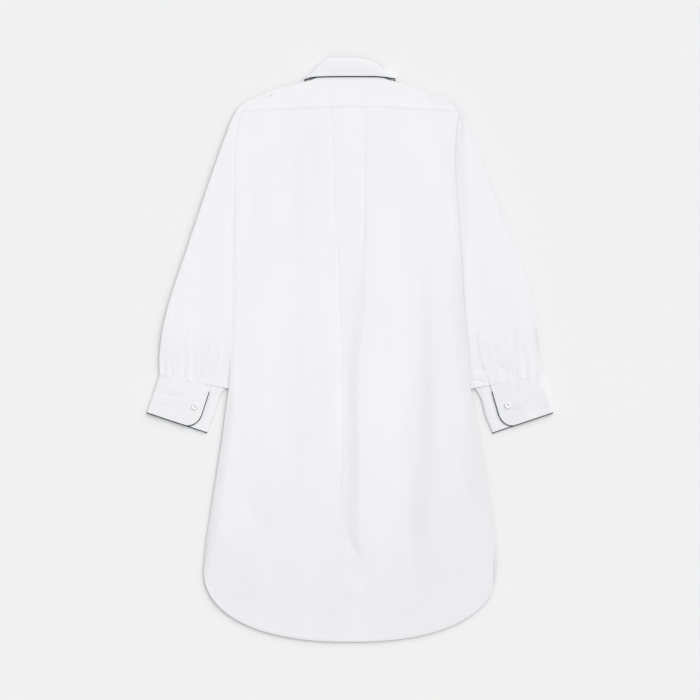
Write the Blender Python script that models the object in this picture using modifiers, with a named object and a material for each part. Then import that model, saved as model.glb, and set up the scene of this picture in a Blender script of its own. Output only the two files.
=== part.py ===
"""White cotton nightshirt with navy piping, buttoned and laid flat on its front, its back upwards.

The frame is in metres: +Y runs towards the collar, +X towards the right of the back view, and the
surface that it lies on is z = 0. The origin is at the middle of the outline, on that surface.
Tables and named sizes are in millimetres, and place() turns them into metres.
"""
import math
from collections import namedtuple

import bmesh
import bpy
from mathutils import Vector

# Cloth and gaps
MM = 0.001
CLOTH = 1.0             # wall of a single cloth, with the air it holds
STIFF = 1.2             # wall of the interlined collar and cuffs
GAP = 0.3               # between pieces that touch or are sewn together
LAYER = CLOTH + GAP     # from one lying cloth to the next

# Stacking heights, all of them undersides above the surface
BUTTON_THICK = 1.6
OUTER_BAND_LIFT = BUTTON_THICK + GAP
INNER_BAND_LIFT = OUTER_BAND_LIFT + LAYER
BACK_LIFT = INNER_BAND_LIFT + LAYER
EDGE_LIFT = LAYER
PIPING_RADIUS = 1.25
PIPING_GAP = 0.5
LEAF_LIFT = 2 * PIPING_RADIUS + 0.2
PLEAT_STEP = CLOTH + 0.4

# Body outline
BAND_HALF = 17.0
HEM_TURN_Y = -404.0
HEM_DROP = 135.3
HEM_HALF = 270.5
HEM_POWER = 2.3
SIDE_ROUND = 18.0
FRONT_INSET = 0.6
FRONT_RISE_HALF = 52.0  # where the fronts start to rise to their bands
FOLD_CLEAR = 8.0        # from the inside of a pleat fold to the nearest row place

# Where the body rides over the collar points
POINTS_OUT = 132.0
POINTS_LOW = 365.0
POINTS_BLEND = 40.0

# Yoke
YOKE_SEAM_Y = 448.6
YOKE_SEAM_DROP = 9.0
YOKE_HALF = 200.0
YOKE_ROUND = 12.0
NECK_HALF = 70.4
PLEAT_OUT = 62.0        # where the yoke starts to rise over the pleat
PLEAT_BLEND = 26.0

# Sleeves and cuffs
SLEEVE_PUFF = 2.6
CUFF_END_PUFF = 1.8
CUFF_LAYER = STIFF + GAP
OVERLAP_REACH = 97.0
UNDERLAP_REACH = 62.0
CORNER_ROUND = 24.0
PIPING_START = 0.16     # where the overlap's cord starts, down the cuff from its seam
TAIL_CLEAR = 11.9       # from the overlap's round corner to the end of the cord on the underlap

# Buttons
CUFF_BUTTON_RADIUS = 5.8
CUFF_BUTTON_THICK = 2.2
FRONT_BUTTON_COUNT = 7
FRONT_BUTTON_TOP_Y = 420.0
FRONT_BUTTON_PITCH = 105.0

# Colours read by eye: bleached cotton, navy cord, shell buttons
WHITE = (0.87, 0.87, 0.90)
NAVY = (0.012, 0.018, 0.055)
SHELL = (0.86, 0.85, 0.83)

# Side edges of the body, from the yoke seam down to where the hem starts to turn
BodyEdge = namedtuple("BodyEdge", "y left right")
BODY_EDGES = (
    BodyEdge(450.0, 188.0, 191.5),
    BodyEdge(439.5, 197.8, 200.6),
    BodyEdge(430.0, 202.0, 200.4),
    BodyEdge(417.0, 206.2, 198.4),
    BodyEdge(394.0, 210.4, 195.2),
    BodyEdge(366.0, 212.9, 193.6),
    BodyEdge(313.5, 213.8, 195.5),
    BodyEdge(202.5, 213.5, 203.5),
    BodyEdge(91.5, 216.0, 211.0),
    BodyEdge(-1.0, 220.0, 219.0),
    BodyEdge(-65.5, 223.5, 223.0),
    BodyEdge(-130.5, 232.0, 232.0),
    BodyEdge(-241.5, 249.0, 250.0),
    BodyEdge(-352.5, 265.5, 267.5),
    BodyEdge(-404.0, HEM_HALF, HEM_HALF),
)

# Upper edge of the body: the shoulder out from the neck, then the seam round the sleeve head
Shoulder = namedtuple("Shoulder", "x left right")
SHOULDERS = (
    Shoulder(70.4, 498.6, 498.6),
    Shoulder(92.0, 493.0, 492.8),
    Shoulder(111.0, 488.0, 486.7),
    Shoulder(128.0, 483.6, 480.6),
    Shoulder(138.0, 479.5, 476.2),
    Shoulder(143.0, 472.6, 469.2),
    Shoulder(152.0, 465.2, 462.4),
    Shoulder(166.0, 459.0, 458.0),
    Shoulder(177.0, 455.0, 456.0),
    Shoulder(187.0, 450.0, 453.0),
    Shoulder(194.0, 444.3, 448.6),
    Shoulder(198.5, 438.6, 443.8),
)

# Neckline of the back, hidden under the collar, and of the fronts
Neck = namedtuple("Neck", "x y")
BACK_NECK = (Neck(0.0, 509.0), Neck(35.0, 506.6), Neck(60.0, 502.4), Neck(70.4, 498.6))
FRONT_NECK = (Neck(17.0, 448.5), Neck(25.0, 452.5), Neck(49.0, 465.0), Neck(65.3, 486.6), Neck(70.4, 498.6))

# Lines across the sleeves, from the head on the shoulder to the cuff: the outer end, then the inner
# end along the armhole and down the sleeve seam
Across = namedtuple("Across", "out_x out_y in_x in_y")
SLEEVES = {
    "left": (
        Across(143.6, 478.4, 144.8, 473.4), Across(153.5, 474.6, 153.2, 466.0),
        Across(165.5, 469.6, 166.4, 459.9), Across(178.0, 464.0, 177.5, 455.9),
        Across(189.5, 458.4, 187.7, 450.9), Across(199.5, 452.4, 194.8, 445.1),
        Across(208.5, 443.6, 200.6, 436.0), Across(215.0, 431.4, 203.9, 427.0),
        Across(221.0, 419.0, 207.2, 416.6), Across(229.5, 395.6, 211.2, 393.8),
        Across(240.0, 368.0, 213.8, 365.8), Across(257.0, 319.0, 214.7, 315.0),
        Across(275.0, 265.0, 214.6, 259.0), Across(290.0, 220.0, 214.4, 208.0),
        Across(305.0, 175.0, 214.9, 158.0), Across(319.0, 134.0, 215.9, 112.0),
        Across(331.5, 95.5, 217.5, 71.0), Across(341.2, 60.5, 219.2, 34.0),
        Across(347.6, 28.5, 221.0, 0.0), Across(351.2, 0.0, 222.6, -28.0),
        Across(352.5, -24.0, 224.0, -51.0), Across(351.8, -45.0, 226.5, -68.0),
    ),
    "right": (
        Across(144.2, 475.0, 145.0, 470.0), Across(154.0, 470.6, 153.4, 463.2),
        Across(166.0, 466.0, 166.4, 458.9), Across(178.5, 462.8, 177.6, 456.9),
        Across(189.0, 457.8, 187.7, 453.9), Across(198.5, 451.8, 195.0, 449.5),
        Across(206.0, 441.6, 201.0, 440.6), Across(212.5, 430.4, 201.3, 430.0),
        Across(218.5, 417.0, 199.4, 416.6), Across(226.6, 396.0, 196.6, 393.8),
        Across(237.5, 368.0, 195.2, 365.8), Across(257.0, 318.0, 196.2, 314.0),
        Across(278.0, 264.0, 199.8, 258.0), Across(295.0, 220.0, 204.0, 208.0),
        Across(311.5, 175.0, 207.4, 158.0), Across(324.5, 134.0, 210.6, 112.0),
        Across(335.3, 95.5, 213.4, 71.0), Across(342.6, 60.5, 216.6, 34.0),
        Across(348.2, 28.5, 219.7, 0.0), Across(352.3, 0.0, 221.8, -28.0),
        Across(353.7, -24.0, 223.6, -51.0), Across(354.8, -45.0, 226.5, -68.0),
    ),
}

# Corners of the cuffs, out from the centre line, with the button
Cuff = namedtuple("Cuff", "top_out_x top_out_y top_in_x top_in_y low_in_x low_in_y low_out_x low_out_y bx by")
CUFFS = {
    "left": Cuff(351.8, -45.0, 229.0, -68.0, 263.6, -150.0, 374.6, -112.0, 286.5, -104.5),
    "right": Cuff(354.8, -45.0, 229.0, -68.0, 262.6, -149.4, 374.6, -112.0, 291.5, -102.0),
}

# Box pleat at the centre of the back: its two folded edges, their undercut and how closed they are
Pleat = namedtuple("Pleat", "y left right under closed")
PLEAT = (
    Pleat(449.0, -35.0, 30.5, 30.0, 1.0),
    Pleat(369.0, -30.5, 30.5, 27.5, 1.0),
    Pleat(276.5, -27.0, 30.5, 25.0, 1.0),
    Pleat(184.0, -22.0, 29.5, 21.5, 1.0),
    Pleat(91.5, -18.5, 25.0, 17.0, 1.0),
    Pleat(-1.0, -15.5, 15.5, 11.0, 1.0),
    Pleat(-93.5, -15.0, 11.5, 8.0, 1.0),
    Pleat(-186.0, -15.0, 9.5, 5.0, 0.9),
    Pleat(-270.0, -16.5, 8.5, 1.0, 0.6),
    Pleat(-361.5, -16.5, 9.0, 0.0, 0.25),
    Pleat(-440.0, -16.0, 9.5, 0.0, 0.0),
    Pleat(-545.0, -15.0, 10.0, 0.0, 0.0),
)

# Long soft troughs in the back: a line of places down each, with its half width and depth
Trough = namedtuple("Trough", "y x half depth")
BACK_TROUGHS = (
    (Trough(150.0, 138.0, 10.0, 0.0), Trough(90.0, 140.0, 12.0, 0.8), Trough(0.0, 148.0, 17.0, 1.6),
     Trough(-100.0, 150.0, 28.0, 2.2), Trough(-240.0, 145.0, 36.0, 2.6), Trough(-390.0, 134.0, 38.0, 1.8),
     Trough(-470.0, 128.0, 36.0, 0.0)),
    (Trough(360.0, -120.0, 14.0, 0.0), Trough(300.0, -112.0, 16.0, 0.6), Trough(120.0, -100.0, 20.0, 1.0),
     Trough(-80.0, -112.0, 26.0, 0.8), Trough(-300.0, -150.0, 30.0, 1.2),
     Trough(-440.0, -165.0, 30.0, 0.0)),
)

# Gathers above each cuff: place across the sleeve (0 outer edge, 1 inner edge), half width, depth
# and how far up the sleeve each one runs
Gather = namedtuple("Gather", "at half depth rise")
GATHERS = (
    Gather(0.10, 4.0, 1.1, 60.0),
    Gather(0.18, 4.5, 1.4, 75.0),
    Gather(0.26, 4.0, 0.9, 50.0),
    Gather(0.34, 5.0, 1.5, 150.0),
    Gather(0.43, 4.5, 1.1, 90.0),
    Gather(0.50, 4.0, 1.3, 130.0),
    Gather(0.80, 4.5, 1.0, 60.0),
    Gather(0.90, 4.0, 1.1, 45.0),
)

# Strip that faces the slit above the cuff: its two long edges across the sleeve, at the last lines
Facing = namedtuple("Facing", "outer inner")
PLACKET = (Facing(0.675, 0.84), Facing(0.685, 0.85), Facing(0.655, 0.82), Facing(0.597, 0.762),
           Facing(0.55, 0.715))

# Collar leaf and stand, as strips from the front edge round the neck: the near edge is the neck or
# fold side, the far edge the other one, and turn is 0 on the front, 1 on the back
Strip = namedtuple("Strip", "near_x near_y far_x far_y turn")
LEAF_LEFT = (
    Strip(-4.0, 468.0, -48.5, 415.5, 0), Strip(-16.0, 477.0, -62.5, 436.0, 0),
    Strip(-30.0, 493.0, -74.5, 459.5, 0), Strip(-40.0, 513.0, -80.0, 481.0, 0),
    Strip(-46.5, 535.5, -81.5, 500.5, 0), Strip(-46.5, 535.5, -81.5, 500.5, 1),
    Strip(-41.0, 538.0, -69.0, 506.4, 1), Strip(-24.0, 539.0, -36.0, 507.8, 1),
)
LEAF_RIGHT = (
    Strip(0.0, 539.0, 0.0, 508.0, 1), Strip(18.5, 537.5, 22.0, 508.0, 1),
    Strip(37.0, 532.5, 43.0, 508.0, 1), Strip(51.0, 526.0, 62.0, 506.8, 1),
    Strip(61.5, 517.0, 80.5, 502.5, 1), Strip(61.5, 517.0, 80.5, 502.5, 0),
    Strip(50.0, 506.0, 79.5, 482.0, 0), Strip(34.0, 491.0, 74.5, 459.5, 0),
    Strip(16.0, 477.0, 62.5, 436.0, 0), Strip(4.0, 468.0, 48.5, 415.5, 0),
)
STAND_LEFT = (
    Strip(-0.8, 447.5, -1.8, 466.0, 0), Strip(-25.0, 453.4, -14.0, 474.5, 0),
    Strip(-48.6, 466.0, -27.5, 490.5, 0), Strip(-64.5, 487.2, -37.5, 511.5, 0),
    Strip(-68.0, 499.8, -44.5, 532.5, 0), Strip(-68.0, 499.8, -44.5, 532.5, 1),
    Strip(-60.0, 502.9, -39.0, 535.6, 1), Strip(-35.0, 507.1, -23.0, 537.0, 1),
)
STAND_RIGHT = (
    Strip(0.0, 509.5, 0.0, 537.4, 1), Strip(35.0, 507.1, 19.0, 535.6, 1),
    Strip(60.0, 502.9, 37.0, 530.4, 1), Strip(68.0, 499.8, 56.0, 517.0, 1),
    Strip(68.0, 499.8, 56.0, 517.0, 0), Strip(64.5, 487.2, 47.0, 505.0, 0),
    Strip(48.6, 466.0, 31.5, 488.5, 0), Strip(25.0, 453.4, 14.0, 474.5, 0),
    Strip(0.8, 447.5, 1.8, 466.0, 0),
)
TURN_STEPS = 4


def lerp(a, b, t):
    """Goes from a to b as t goes from 0 to 1."""
    return a + (b - a) * t


def ease(t):
    """Rises smoothly from 0 to 1, and stays there."""
    t = min(max(t, 0.0), 1.0)
    return t * t * (3.0 - 2.0 * t)


def crown(distance, reach):
    """Rises from 0 at an edge to 1 at the reach, steepest at the edge, as a rolled side does."""
    left_over = 1.0 - min(max(distance / reach, 0.0), 1.0)
    return 1.0 - left_over * left_over


def read(table, key, column, at):
    """Reads a column of a table on a smooth curve between its rows."""
    keys = [getattr(row, key) for row in table]
    values = [getattr(row, column) for row in table]
    if keys[0] > keys[-1]:
        keys.reverse()
        values.reverse()
    at = min(max(at, keys[0]), keys[-1])
    last = len(keys) - 1
    slot = max(i for i in range(last) if keys[i] <= at or i == 0)

    def slope(i):
        low, high = max(i - 1, 0), min(i + 1, last)
        return (values[high] - values[low]) / (keys[high] - keys[low])

    span = keys[slot + 1] - keys[slot]
    t = (at - keys[slot]) / span
    rise = values[slot + 1] - values[slot]
    start, end = slope(slot) * span, slope(slot + 1) * span
    bend = 3 * rise - 2 * start - end + t * (start + end - 2 * rise)
    return values[slot] + t * (start + t * bend)


def place(x, y, z):
    """Turns millimetres into the frame's metres."""
    return Vector((x, y, z)) * MM


def sign_of(side):
    return -1.0 if side == "left" else 1.0


def make_material(name, colour, roughness):
    material = bpy.data.materials.new(name)
    material.use_nodes = True
    shader = material.node_tree.nodes["Principled BSDF"]
    shader.inputs["Base Color"].default_value = (*colour, 1.0)
    shader.inputs["Roughness"].default_value = roughness
    shader.inputs["Metallic"].default_value = 0.0
    return material


def add_object(name, data, collection, colour, roughness=0.9):
    """Puts mesh or curve data in the garment's collection with a material of its own."""
    obj = bpy.data.objects.new(name, data)
    data.materials.append(make_material(name, colour, roughness))
    collection.objects.link(obj)
    return obj


def add_cloth(name, rows, collection, wall=CLOTH):
    """Lofts rows of points along the middle of the cloth, and gives that surface its wall."""
    mesh = bpy.data.meshes.new(name)
    surface = bmesh.new()
    grid = [[surface.verts.new(place(*point)) for point in row] for row in rows]
    for upper, lower in zip(grid, grid[1:]):
        for i in range(len(upper) - 1):
            surface.faces.new((upper[i], lower[i], lower[i + 1], upper[i + 1]))
    surface.to_mesh(mesh)
    surface.free()
    mesh.shade_smooth()
    obj = add_object(name, mesh, collection, WHITE)
    solid = obj.modifiers.new("cloth wall", "SOLIDIFY")
    solid.thickness = wall * MM
    solid.offset = 0.0
    solid.use_even_offset = True
    return obj


def add_piping(name, path, collection):
    """A round navy cord along a list of points."""
    curve = bpy.data.curves.new(name, "CURVE")
    curve.dimensions = "3D"
    curve.bevel_depth = PIPING_RADIUS * MM
    curve.bevel_resolution = 1
    curve.use_fill_caps = True
    spline = curve.splines.new("POLY")
    spline.points.add(len(path) - 1)
    for point, position in zip(spline.points, path):
        point.co = (*place(*position), 1.0)
    return add_object(name, curve, collection, NAVY, 0.7)


def add_button(name, x, y, z, radius, thick, collection):
    """A turned button with a raised rim, standing on its flat back at height z."""
    rim = 0.78 * radius
    dish = 0.68 * thick
    profile = ((0.0, dish), (0.62 * radius, dish), (rim, thick), (radius, 0.75 * thick),
               (0.92 * radius, 0.0), (0.0, 0.0))
    mesh = bpy.data.meshes.new(name)
    outline = bmesh.new()
    verts = [outline.verts.new((r * MM, 0.0, h * MM)) for r, h in profile]
    for first, second in zip(verts, verts[1:]):
        outline.edges.new((first, second))
    outline.to_mesh(mesh)
    outline.free()
    obj = add_object(name, mesh, collection, SHELL, 0.25)
    obj.location = place(x, y, z)
    turn = obj.modifiers.new("turned", "SCREW")
    turn.steps = 12
    turn.render_steps = 12
    turn.use_merge_vertices = True
    turn.merge_threshold = 0.00001
    turn.use_smooth_shade = True
    return obj


# Outline and height of the body
def body_edge(side, y):
    return sign_of(side) * read(BODY_EDGES, "y", side, y)


def hem_y(x):
    """The shirt-tail hem, a flattened arc from side to side."""
    reach = min(abs(x) / HEM_HALF, 1.0)
    return HEM_TURN_Y - HEM_DROP * (1.0 - reach ** HEM_POWER) ** (1.0 / HEM_POWER)


def yoke_seam_y(x):
    return YOKE_SEAM_Y - YOKE_SEAM_DROP * (abs(x) / YOKE_HALF) ** 1.6


def shoulder_y(x):
    side = "left" if x < 0 else "right"
    return read(SHOULDERS, "x", side, abs(x))


def back_top_y(x):
    """The top of the yoke: the back neckline, then the shoulder."""
    if abs(x) < NECK_HALF:
        return read(BACK_NECK, "x", "y", abs(x))
    return shoulder_y(x)


def front_top_y(x):
    if abs(x) < NECK_HALF:
        return read(FRONT_NECK, "x", "y", abs(x))
    return shoulder_y(x)


def collar_lift(x, y):
    """The body rides up over the collar points that lie under it."""
    return LEAF_LIFT * ease((POINTS_OUT - abs(x)) / POINTS_BLEND) * ease((y - POINTS_LOW) / POINTS_BLEND)


def front_lift(x, y):
    """Underside of the fronts, which rise over the buttons to their bands at the centre."""
    peak = INNER_BAND_LIFT if x < 0 else OUTER_BAND_LIFT
    ridge = peak * ease((FRONT_RISE_HALF - abs(x)) / (FRONT_RISE_HALF - BAND_HALF))
    return max(ridge, collar_lift(x, y))


def trough_depth(x, y):
    """How far the back sinks in its long soft troughs."""
    depth = 0.0
    for line in BACK_TROUGHS:
        middle = read(line, "y", "x", y)
        half = read(line, "y", "half", y)
        depth += max(read(line, "y", "depth", y), 0.0) * math.exp(-((x - middle) / half) ** 2)
    return depth


def back_under(x, y, side_distance):
    """Underside of the back panel: flat across, rolled down at the sides and the hem."""
    rise = crown(side_distance, SIDE_ROUND)
    ridge = ease((60.0 - abs(x)) / 40.0)
    rise *= max(crown(y - hem_y(x), SIDE_ROUND), ridge)
    floor = max(EDGE_LIFT, front_lift(x, y) + LAYER) if y > POINTS_LOW else EDGE_LIFT
    level = lerp(floor, BACK_LIFT, rise)
    sink = min(trough_depth(x, y), 2.7) * rise * (1.0 - ridge)
    return max(level - sink, floor)


# Panels
def side_fractions():
    """Places across a panel, close together where its side rolls down."""
    return (0.0, 0.015, 0.04, 0.08, 0.16, 0.28, 0.4, 0.52, 0.64, 0.76, 0.88, 1.0)


def s_fold(edge_x, inner_x, closed, base, outward):
    """Middle line of one folded edge of the pleat, from the panel up to the pleat's face."""
    half_step = PLEAT_STEP / 2 * closed
    turn = half_step if closed > 0.8 else half_step * closed
    spread = 6.0 * (1.0 - closed)
    points = []
    for k in range(5):
        angle = math.radians(-90 + 45 * k)
        points.append((inner_x + outward * (turn * math.cos(angle) - spread * (1.2 - 0.1 * k)),
                       base + half_step * (1 + math.sin(angle))))
    for k in range(5):
        angle = math.radians(-90 - 45 * k)
        points.append((edge_x + outward * (turn * math.cos(angle) + spread * (0.2 + 0.25 * k)),
                       base + half_step * (3 + math.sin(angle))))
    return points


def back_row(v):
    """One row of the back panel, from side to side, through both folds of the box pleat."""
    y_side = lerp(yoke_seam_y(YOKE_HALF) - GAP, HEM_TURN_Y, v)
    y_mid = lerp(YOKE_SEAM_Y - GAP, hem_y(0.0), v)
    left, right = body_edge("left", y_side), body_edge("right", y_side)
    pleat = {name: read(PLEAT, "y", name, y_mid) for name in ("left", "right", "under", "closed")}
    closed = min(max(pleat["closed"], 0.0), 1.0)
    under = max(pleat["under"], 0.0)
    flat = []
    inner = pleat["left"] + under
    for part in side_fractions()[:-1]:
        flat.append((lerp(left, inner - FOLD_CLEAR, part), None))
    base = BACK_LIFT + CLOTH / 2
    flat += s_fold(pleat["left"], inner, closed, base, 1.0)
    top = base + 2 * PLEAT_STEP * closed
    flat.append((lerp(pleat["left"], pleat["right"], 0.35), top))
    flat.append((lerp(pleat["left"], pleat["right"], 0.65), top))
    inner = pleat["right"] - under
    flat += reversed(s_fold(pleat["right"], inner, closed, base, -1.0))
    for part in reversed(side_fractions()[:-1]):
        flat.append((lerp(right, inner + FOLD_CLEAR, part), None))
    row = []
    for x, z in flat:
        y = lerp(yoke_seam_y(x) - GAP, hem_y(x * HEM_HALF / max(right, -left)), v)
        if z is None:
            z = back_under(x, y, min(x - left, right - x)) + CLOTH / 2
        row.append((x, y, z))
    return row


def make_back(collection):
    count = 20
    steps = [0.0, 0.012, 0.03] + [(i + 1) / count for i in range(count - 2)] + [0.97, 0.988, 1.0]
    add_cloth("back_panel", [back_row(v) for v in steps], collection)


def make_front(side, collection):
    """One front, flat on the surface, rising to its button band."""
    sign = sign_of(side)
    tops = (196.6, 188.0, 172.0, 154.0, 145.5, 141.5, 137.0, 111.0, 90.0, 69.6, 66.0, 50.0, 32.0,
            BAND_HALF + GAP)
    rows = []
    for v in (0.0, 0.012, 0.03, 0.055, 0.09, 0.14, 0.2, 0.27, 0.35, 0.44, 0.53, 0.62, 0.71, 0.8, 0.89, 1.0):
        y_side = lerp(shoulder_y(sign * tops[0]) - FRONT_INSET, HEM_TURN_Y, v)
        edge = abs(body_edge(side, y_side)) - FRONT_INSET
        row = []
        for top in tops:
            part = (tops[0] - top) / (tops[0] - tops[-1])
            x = sign * lerp(edge, tops[-1], part)
            y = lerp(front_top_y(sign * top) - FRONT_INSET, hem_y(x * HEM_HALF / edge) + 1.0, v)
            row.append((x, y, front_lift(x, y) + CLOTH / 2))
        rows.append(row if side == "left" else row[::-1])
    add_cloth(f"front_{side}", rows, collection)


def make_band(name, lift, collection):
    """A stitched strip down the centre of one front, for its buttons or buttonholes."""
    top = read(FRONT_NECK, "x", "y", BAND_HALF) - 2.0
    bottom = hem_y(0.0) + 1.2
    rows = [[(x, lerp(top, bottom, i / 8), lift + CLOTH / 2) for x in (-BAND_HALF, 0.0, BAND_HALF)]
            for i in range(9)]
    add_cloth(name, rows, collection)


def make_yoke(collection):
    """The back yoke, from the shoulders and neckline down to its seam."""
    places = (0.0, 18.0, 30.0, 40.0, 50.0, 60.0, NECK_HALF, 90.0, 111.0, 137.0, 141.5, 145.5, 154.0,
              172.0, 188.0, 194.0)
    columns = [-x for x in reversed(places[1:])] + list(places)
    rows = []
    for v in (0.0, 0.07, 0.18, 0.36, 0.57, 0.78, 1.0):
        row = []
        for x in columns:
            foot = abs(body_edge("left" if x < 0 else "right", 440.0)) - 0.2
            x_now = lerp(x, x * foot / places[-1], v)
            y = lerp(back_top_y(x), yoke_seam_y(x_now), v)
            floor = LAYER + collar_lift(x_now, y)
            rise = crown(back_top_y(x) - y, YOKE_ROUND)
            rise *= crown(places[-1] + 2.0 - abs(x_now), SIDE_ROUND)
            over_pleat = ease((PLEAT_OUT - abs(x_now)) / PLEAT_BLEND) * ease(v) * 2 * PLEAT_STEP
            row.append((x_now, y, lerp(floor, BACK_LIFT, rise) + over_pleat + CLOTH / 2))
        rows.append(row)
    add_cloth("yoke", rows, collection)


# Sleeves
def sleeve_place(side, row, part):
    """A place in plan on a line across the sleeve: part runs from the outer to the inner end."""
    line = SLEEVES[side][row]
    outer, inner = Vector((line.out_x, line.out_y)), Vector((line.in_x, line.in_y))
    spot = outer.lerp(inner, part)
    return sign_of(side) * spot.x, spot.y


def sleeve_width(side, row):
    line = SLEEVES[side][row]
    return math.hypot(line.out_x - line.in_x, line.out_y - line.in_y)


def outer_slant(side, row):
    """How square a line across the sleeve meets its outer edge, 1 where it is at right angles."""
    lines = SLEEVES[side]
    before, after = lines[max(row - 1, 0)], lines[min(row + 1, len(lines) - 1)]
    edge = Vector((after.out_x - before.out_x, after.out_y - before.out_y)).normalized()
    across = Vector((lines[row].in_x - lines[row].out_x, lines[row].in_y - lines[row].out_y)).normalized()
    return max(abs(edge.x * across.y - edge.y * across.x), 0.4)


def sleeve_height(side, row, part):
    """Middle of the sleeve's upper cloth, with its gathers above the cuff."""
    lines = SLEEVES[side]
    width = sleeve_width(side, row)
    above_cuff = lines[row].out_y - lines[-1].out_y
    puff = lerp(CUFF_END_PUFF, SLEEVE_PUFF, ease(above_cuff / 40.0)) * ease(width / 24.0)
    rise = crown(min(part, 1.0 - part) * width, min(SIDE_ROUND, width / 2))
    sink = 0.0
    for gather in GATHERS:
        strength = math.exp(-((part - gather.at) * width / gather.half) ** 2)
        sink += gather.depth * strength * ease(1.0 - above_cuff / gather.rise)
    return LAYER + CLOTH / 2 + max(puff - sink, 0.2 * puff) * rise


def make_sleeve(side, collection):
    """A sleeve folded flat about its outer edge, its two ends meeting along the inner seam."""
    turn = LAYER / 2
    inside = turn + CLOTH / 2
    rows = []
    for row in range(len(SLEEVES[side])):
        width = sleeve_width(side, row)
        slant = outer_slant(side, row)
        first = inside / slant / width
        near_edge = [first + (0.5 - first) * k for k in (0.0, 0.04, 0.1, 0.19)]
        inner_end = [1.0, 0.985, 0.955, 0.9]
        middle = [lerp(near_edge[-1], inner_end[-1], (i + 1) / 18) for i in range(17)]
        parts = inner_end + middle[::-1] + near_edge[::-1]
        section = [(part, sleeve_height(side, row, part)) for part in parts]
        section[-1] = (first, LAYER + CLOTH / 2)
        for angle in (45, 0, -45):
            swing = turn * math.cos(math.radians(angle))
            part = (inside - swing) / slant / width
            section.append((part, CLOTH / 2 + turn * (1 + math.sin(math.radians(angle)))))
        section += [(part, CLOTH / 2) for part in (first, 0.5, 1.0)]
        points = [(*sleeve_place(side, row, part), z) for part, z in section]
        rows.append(points if side == "left" else points[::-1])
    add_cloth(f"sleeve_{side}", rows, collection)


def make_sleeve_placket(side, collection):
    """The strip that faces the slit above the cuff, lying on the sleeve."""
    first = len(SLEEVES[side]) - len(PLACKET)
    rows = []
    for row, facing in enumerate(PLACKET, first):
        points = []
        for across in (0.0, 0.33, 0.67, 1.0):
            part = lerp(facing.outer, facing.inner, across)
            x, y = sleeve_place(side, row, part)
            under = max(sleeve_height(side, row, p) for p in (part - 0.05, part, part + 0.05))
            points.append((x, y, under + LAYER + 0.1))
        rows.append(points if side == "left" else points[::-1])
    add_cloth(f"sleeve_placket_{side}", rows, collection)


# Cuffs
def cuff_depth(side):
    cuff = CUFFS[side]
    return math.hypot(cuff.low_out_x - cuff.top_out_x, cuff.low_out_y - cuff.top_out_y)


def corner_lean(side, v):
    """How far v is into the overlap's round lower corner, from 0 to 1."""
    return min(max(v * cuff_depth(side) - (cuff_depth(side) - CORNER_ROUND), 0.0) / CORNER_ROUND, 1.0)


def cuff_line(side, v):
    """Outer and inner ends of the cuff at v, from the gathered seam to the piped edge."""
    cuff = CUFFS[side]
    sign = sign_of(side)
    outer_top = Vector((cuff.top_out_x, cuff.top_out_y))
    outer_low = Vector((cuff.low_out_x, cuff.low_out_y))
    outer = outer_top.lerp(outer_low, v)
    inner = Vector((cuff.top_in_x, cuff.top_in_y)).lerp(Vector((cuff.low_in_x, cuff.low_in_y)), v)
    step = (outer_low - outer_top).normalized() * (GAP + 0.1) * (1.0 - v)
    outer, inner = outer + step, inner + step
    inner.x += 6.0 * math.sin(math.pi * min(v * 1.6, 1.0)) * (1.0 - v)
    return Vector((sign * outer.x, outer.y)), Vector((sign * inner.x, inner.y))


def overlap_end(side, v):
    """How far the overlap reaches from the outer fold, with its round lower corner."""
    return OVERLAP_REACH - CORNER_ROUND * (1.0 - math.sqrt(1.0 - corner_lean(side, v) ** 2))


def turned(s, z, bend, angles):
    """Points round a fold centred at (s, z), which turns out towards larger s if bend is positive."""
    return [(s + bend * math.cos(math.radians(a)), z + abs(bend) * math.sin(math.radians(a))) for a in angles]


def make_cuff(side, collection):
    """A cuff wrapped once round: the overlap on top, the underlap inside it, then the far side."""
    levels = (STIFF / 2, STIFF / 2 + CUFF_LAYER, STIFF / 2 + 2 * CUFF_LAYER)
    rows = []
    for v in (0.0, 0.2, 0.45, 0.66, 0.78, 0.87, 0.94, 0.98, 1.0):
        outer, inner = cuff_line(side, v)
        length = (inner - outer).length
        end = overlap_end(side, v)
        out_turn, in_turn = CUFF_LAYER + STIFF / 2, length - CUFF_LAYER / 2 - STIFF / 2
        section = [(lerp(end, out_turn, k / 6), levels[2]) for k in range(7)]
        section += turned(out_turn, levels[1], -CUFF_LAYER, (45, 0, -45))
        section += [(lerp(out_turn, in_turn, k / 5), levels[0]) for k in range(6)]
        section += turned(in_turn, (levels[0] + levels[1]) / 2, CUFF_LAYER / 2, (-45, 0, 45))
        section += [(lerp(in_turn, UNDERLAP_REACH, k / 3), levels[1]) for k in range(4)]
        row = []
        for s, z in section:
            spot = outer.lerp(inner, s / length)
            row.append((spot.x, spot.y, z))
        rows.append(row if side == "left" else row[::-1])
    add_cloth(f"cuff_{side}", rows, collection, wall=STIFF)


def cuff_ways(side, v):
    """The cuff's outer end at v, its length, and the ways along it and down out of its lower edge."""
    outer, inner = cuff_line(side, v)
    along = (inner - outer).normalized()
    down = Vector((along.y, -along.x)) * -sign_of(side)
    return outer, (inner - outer).length, along, down


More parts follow.
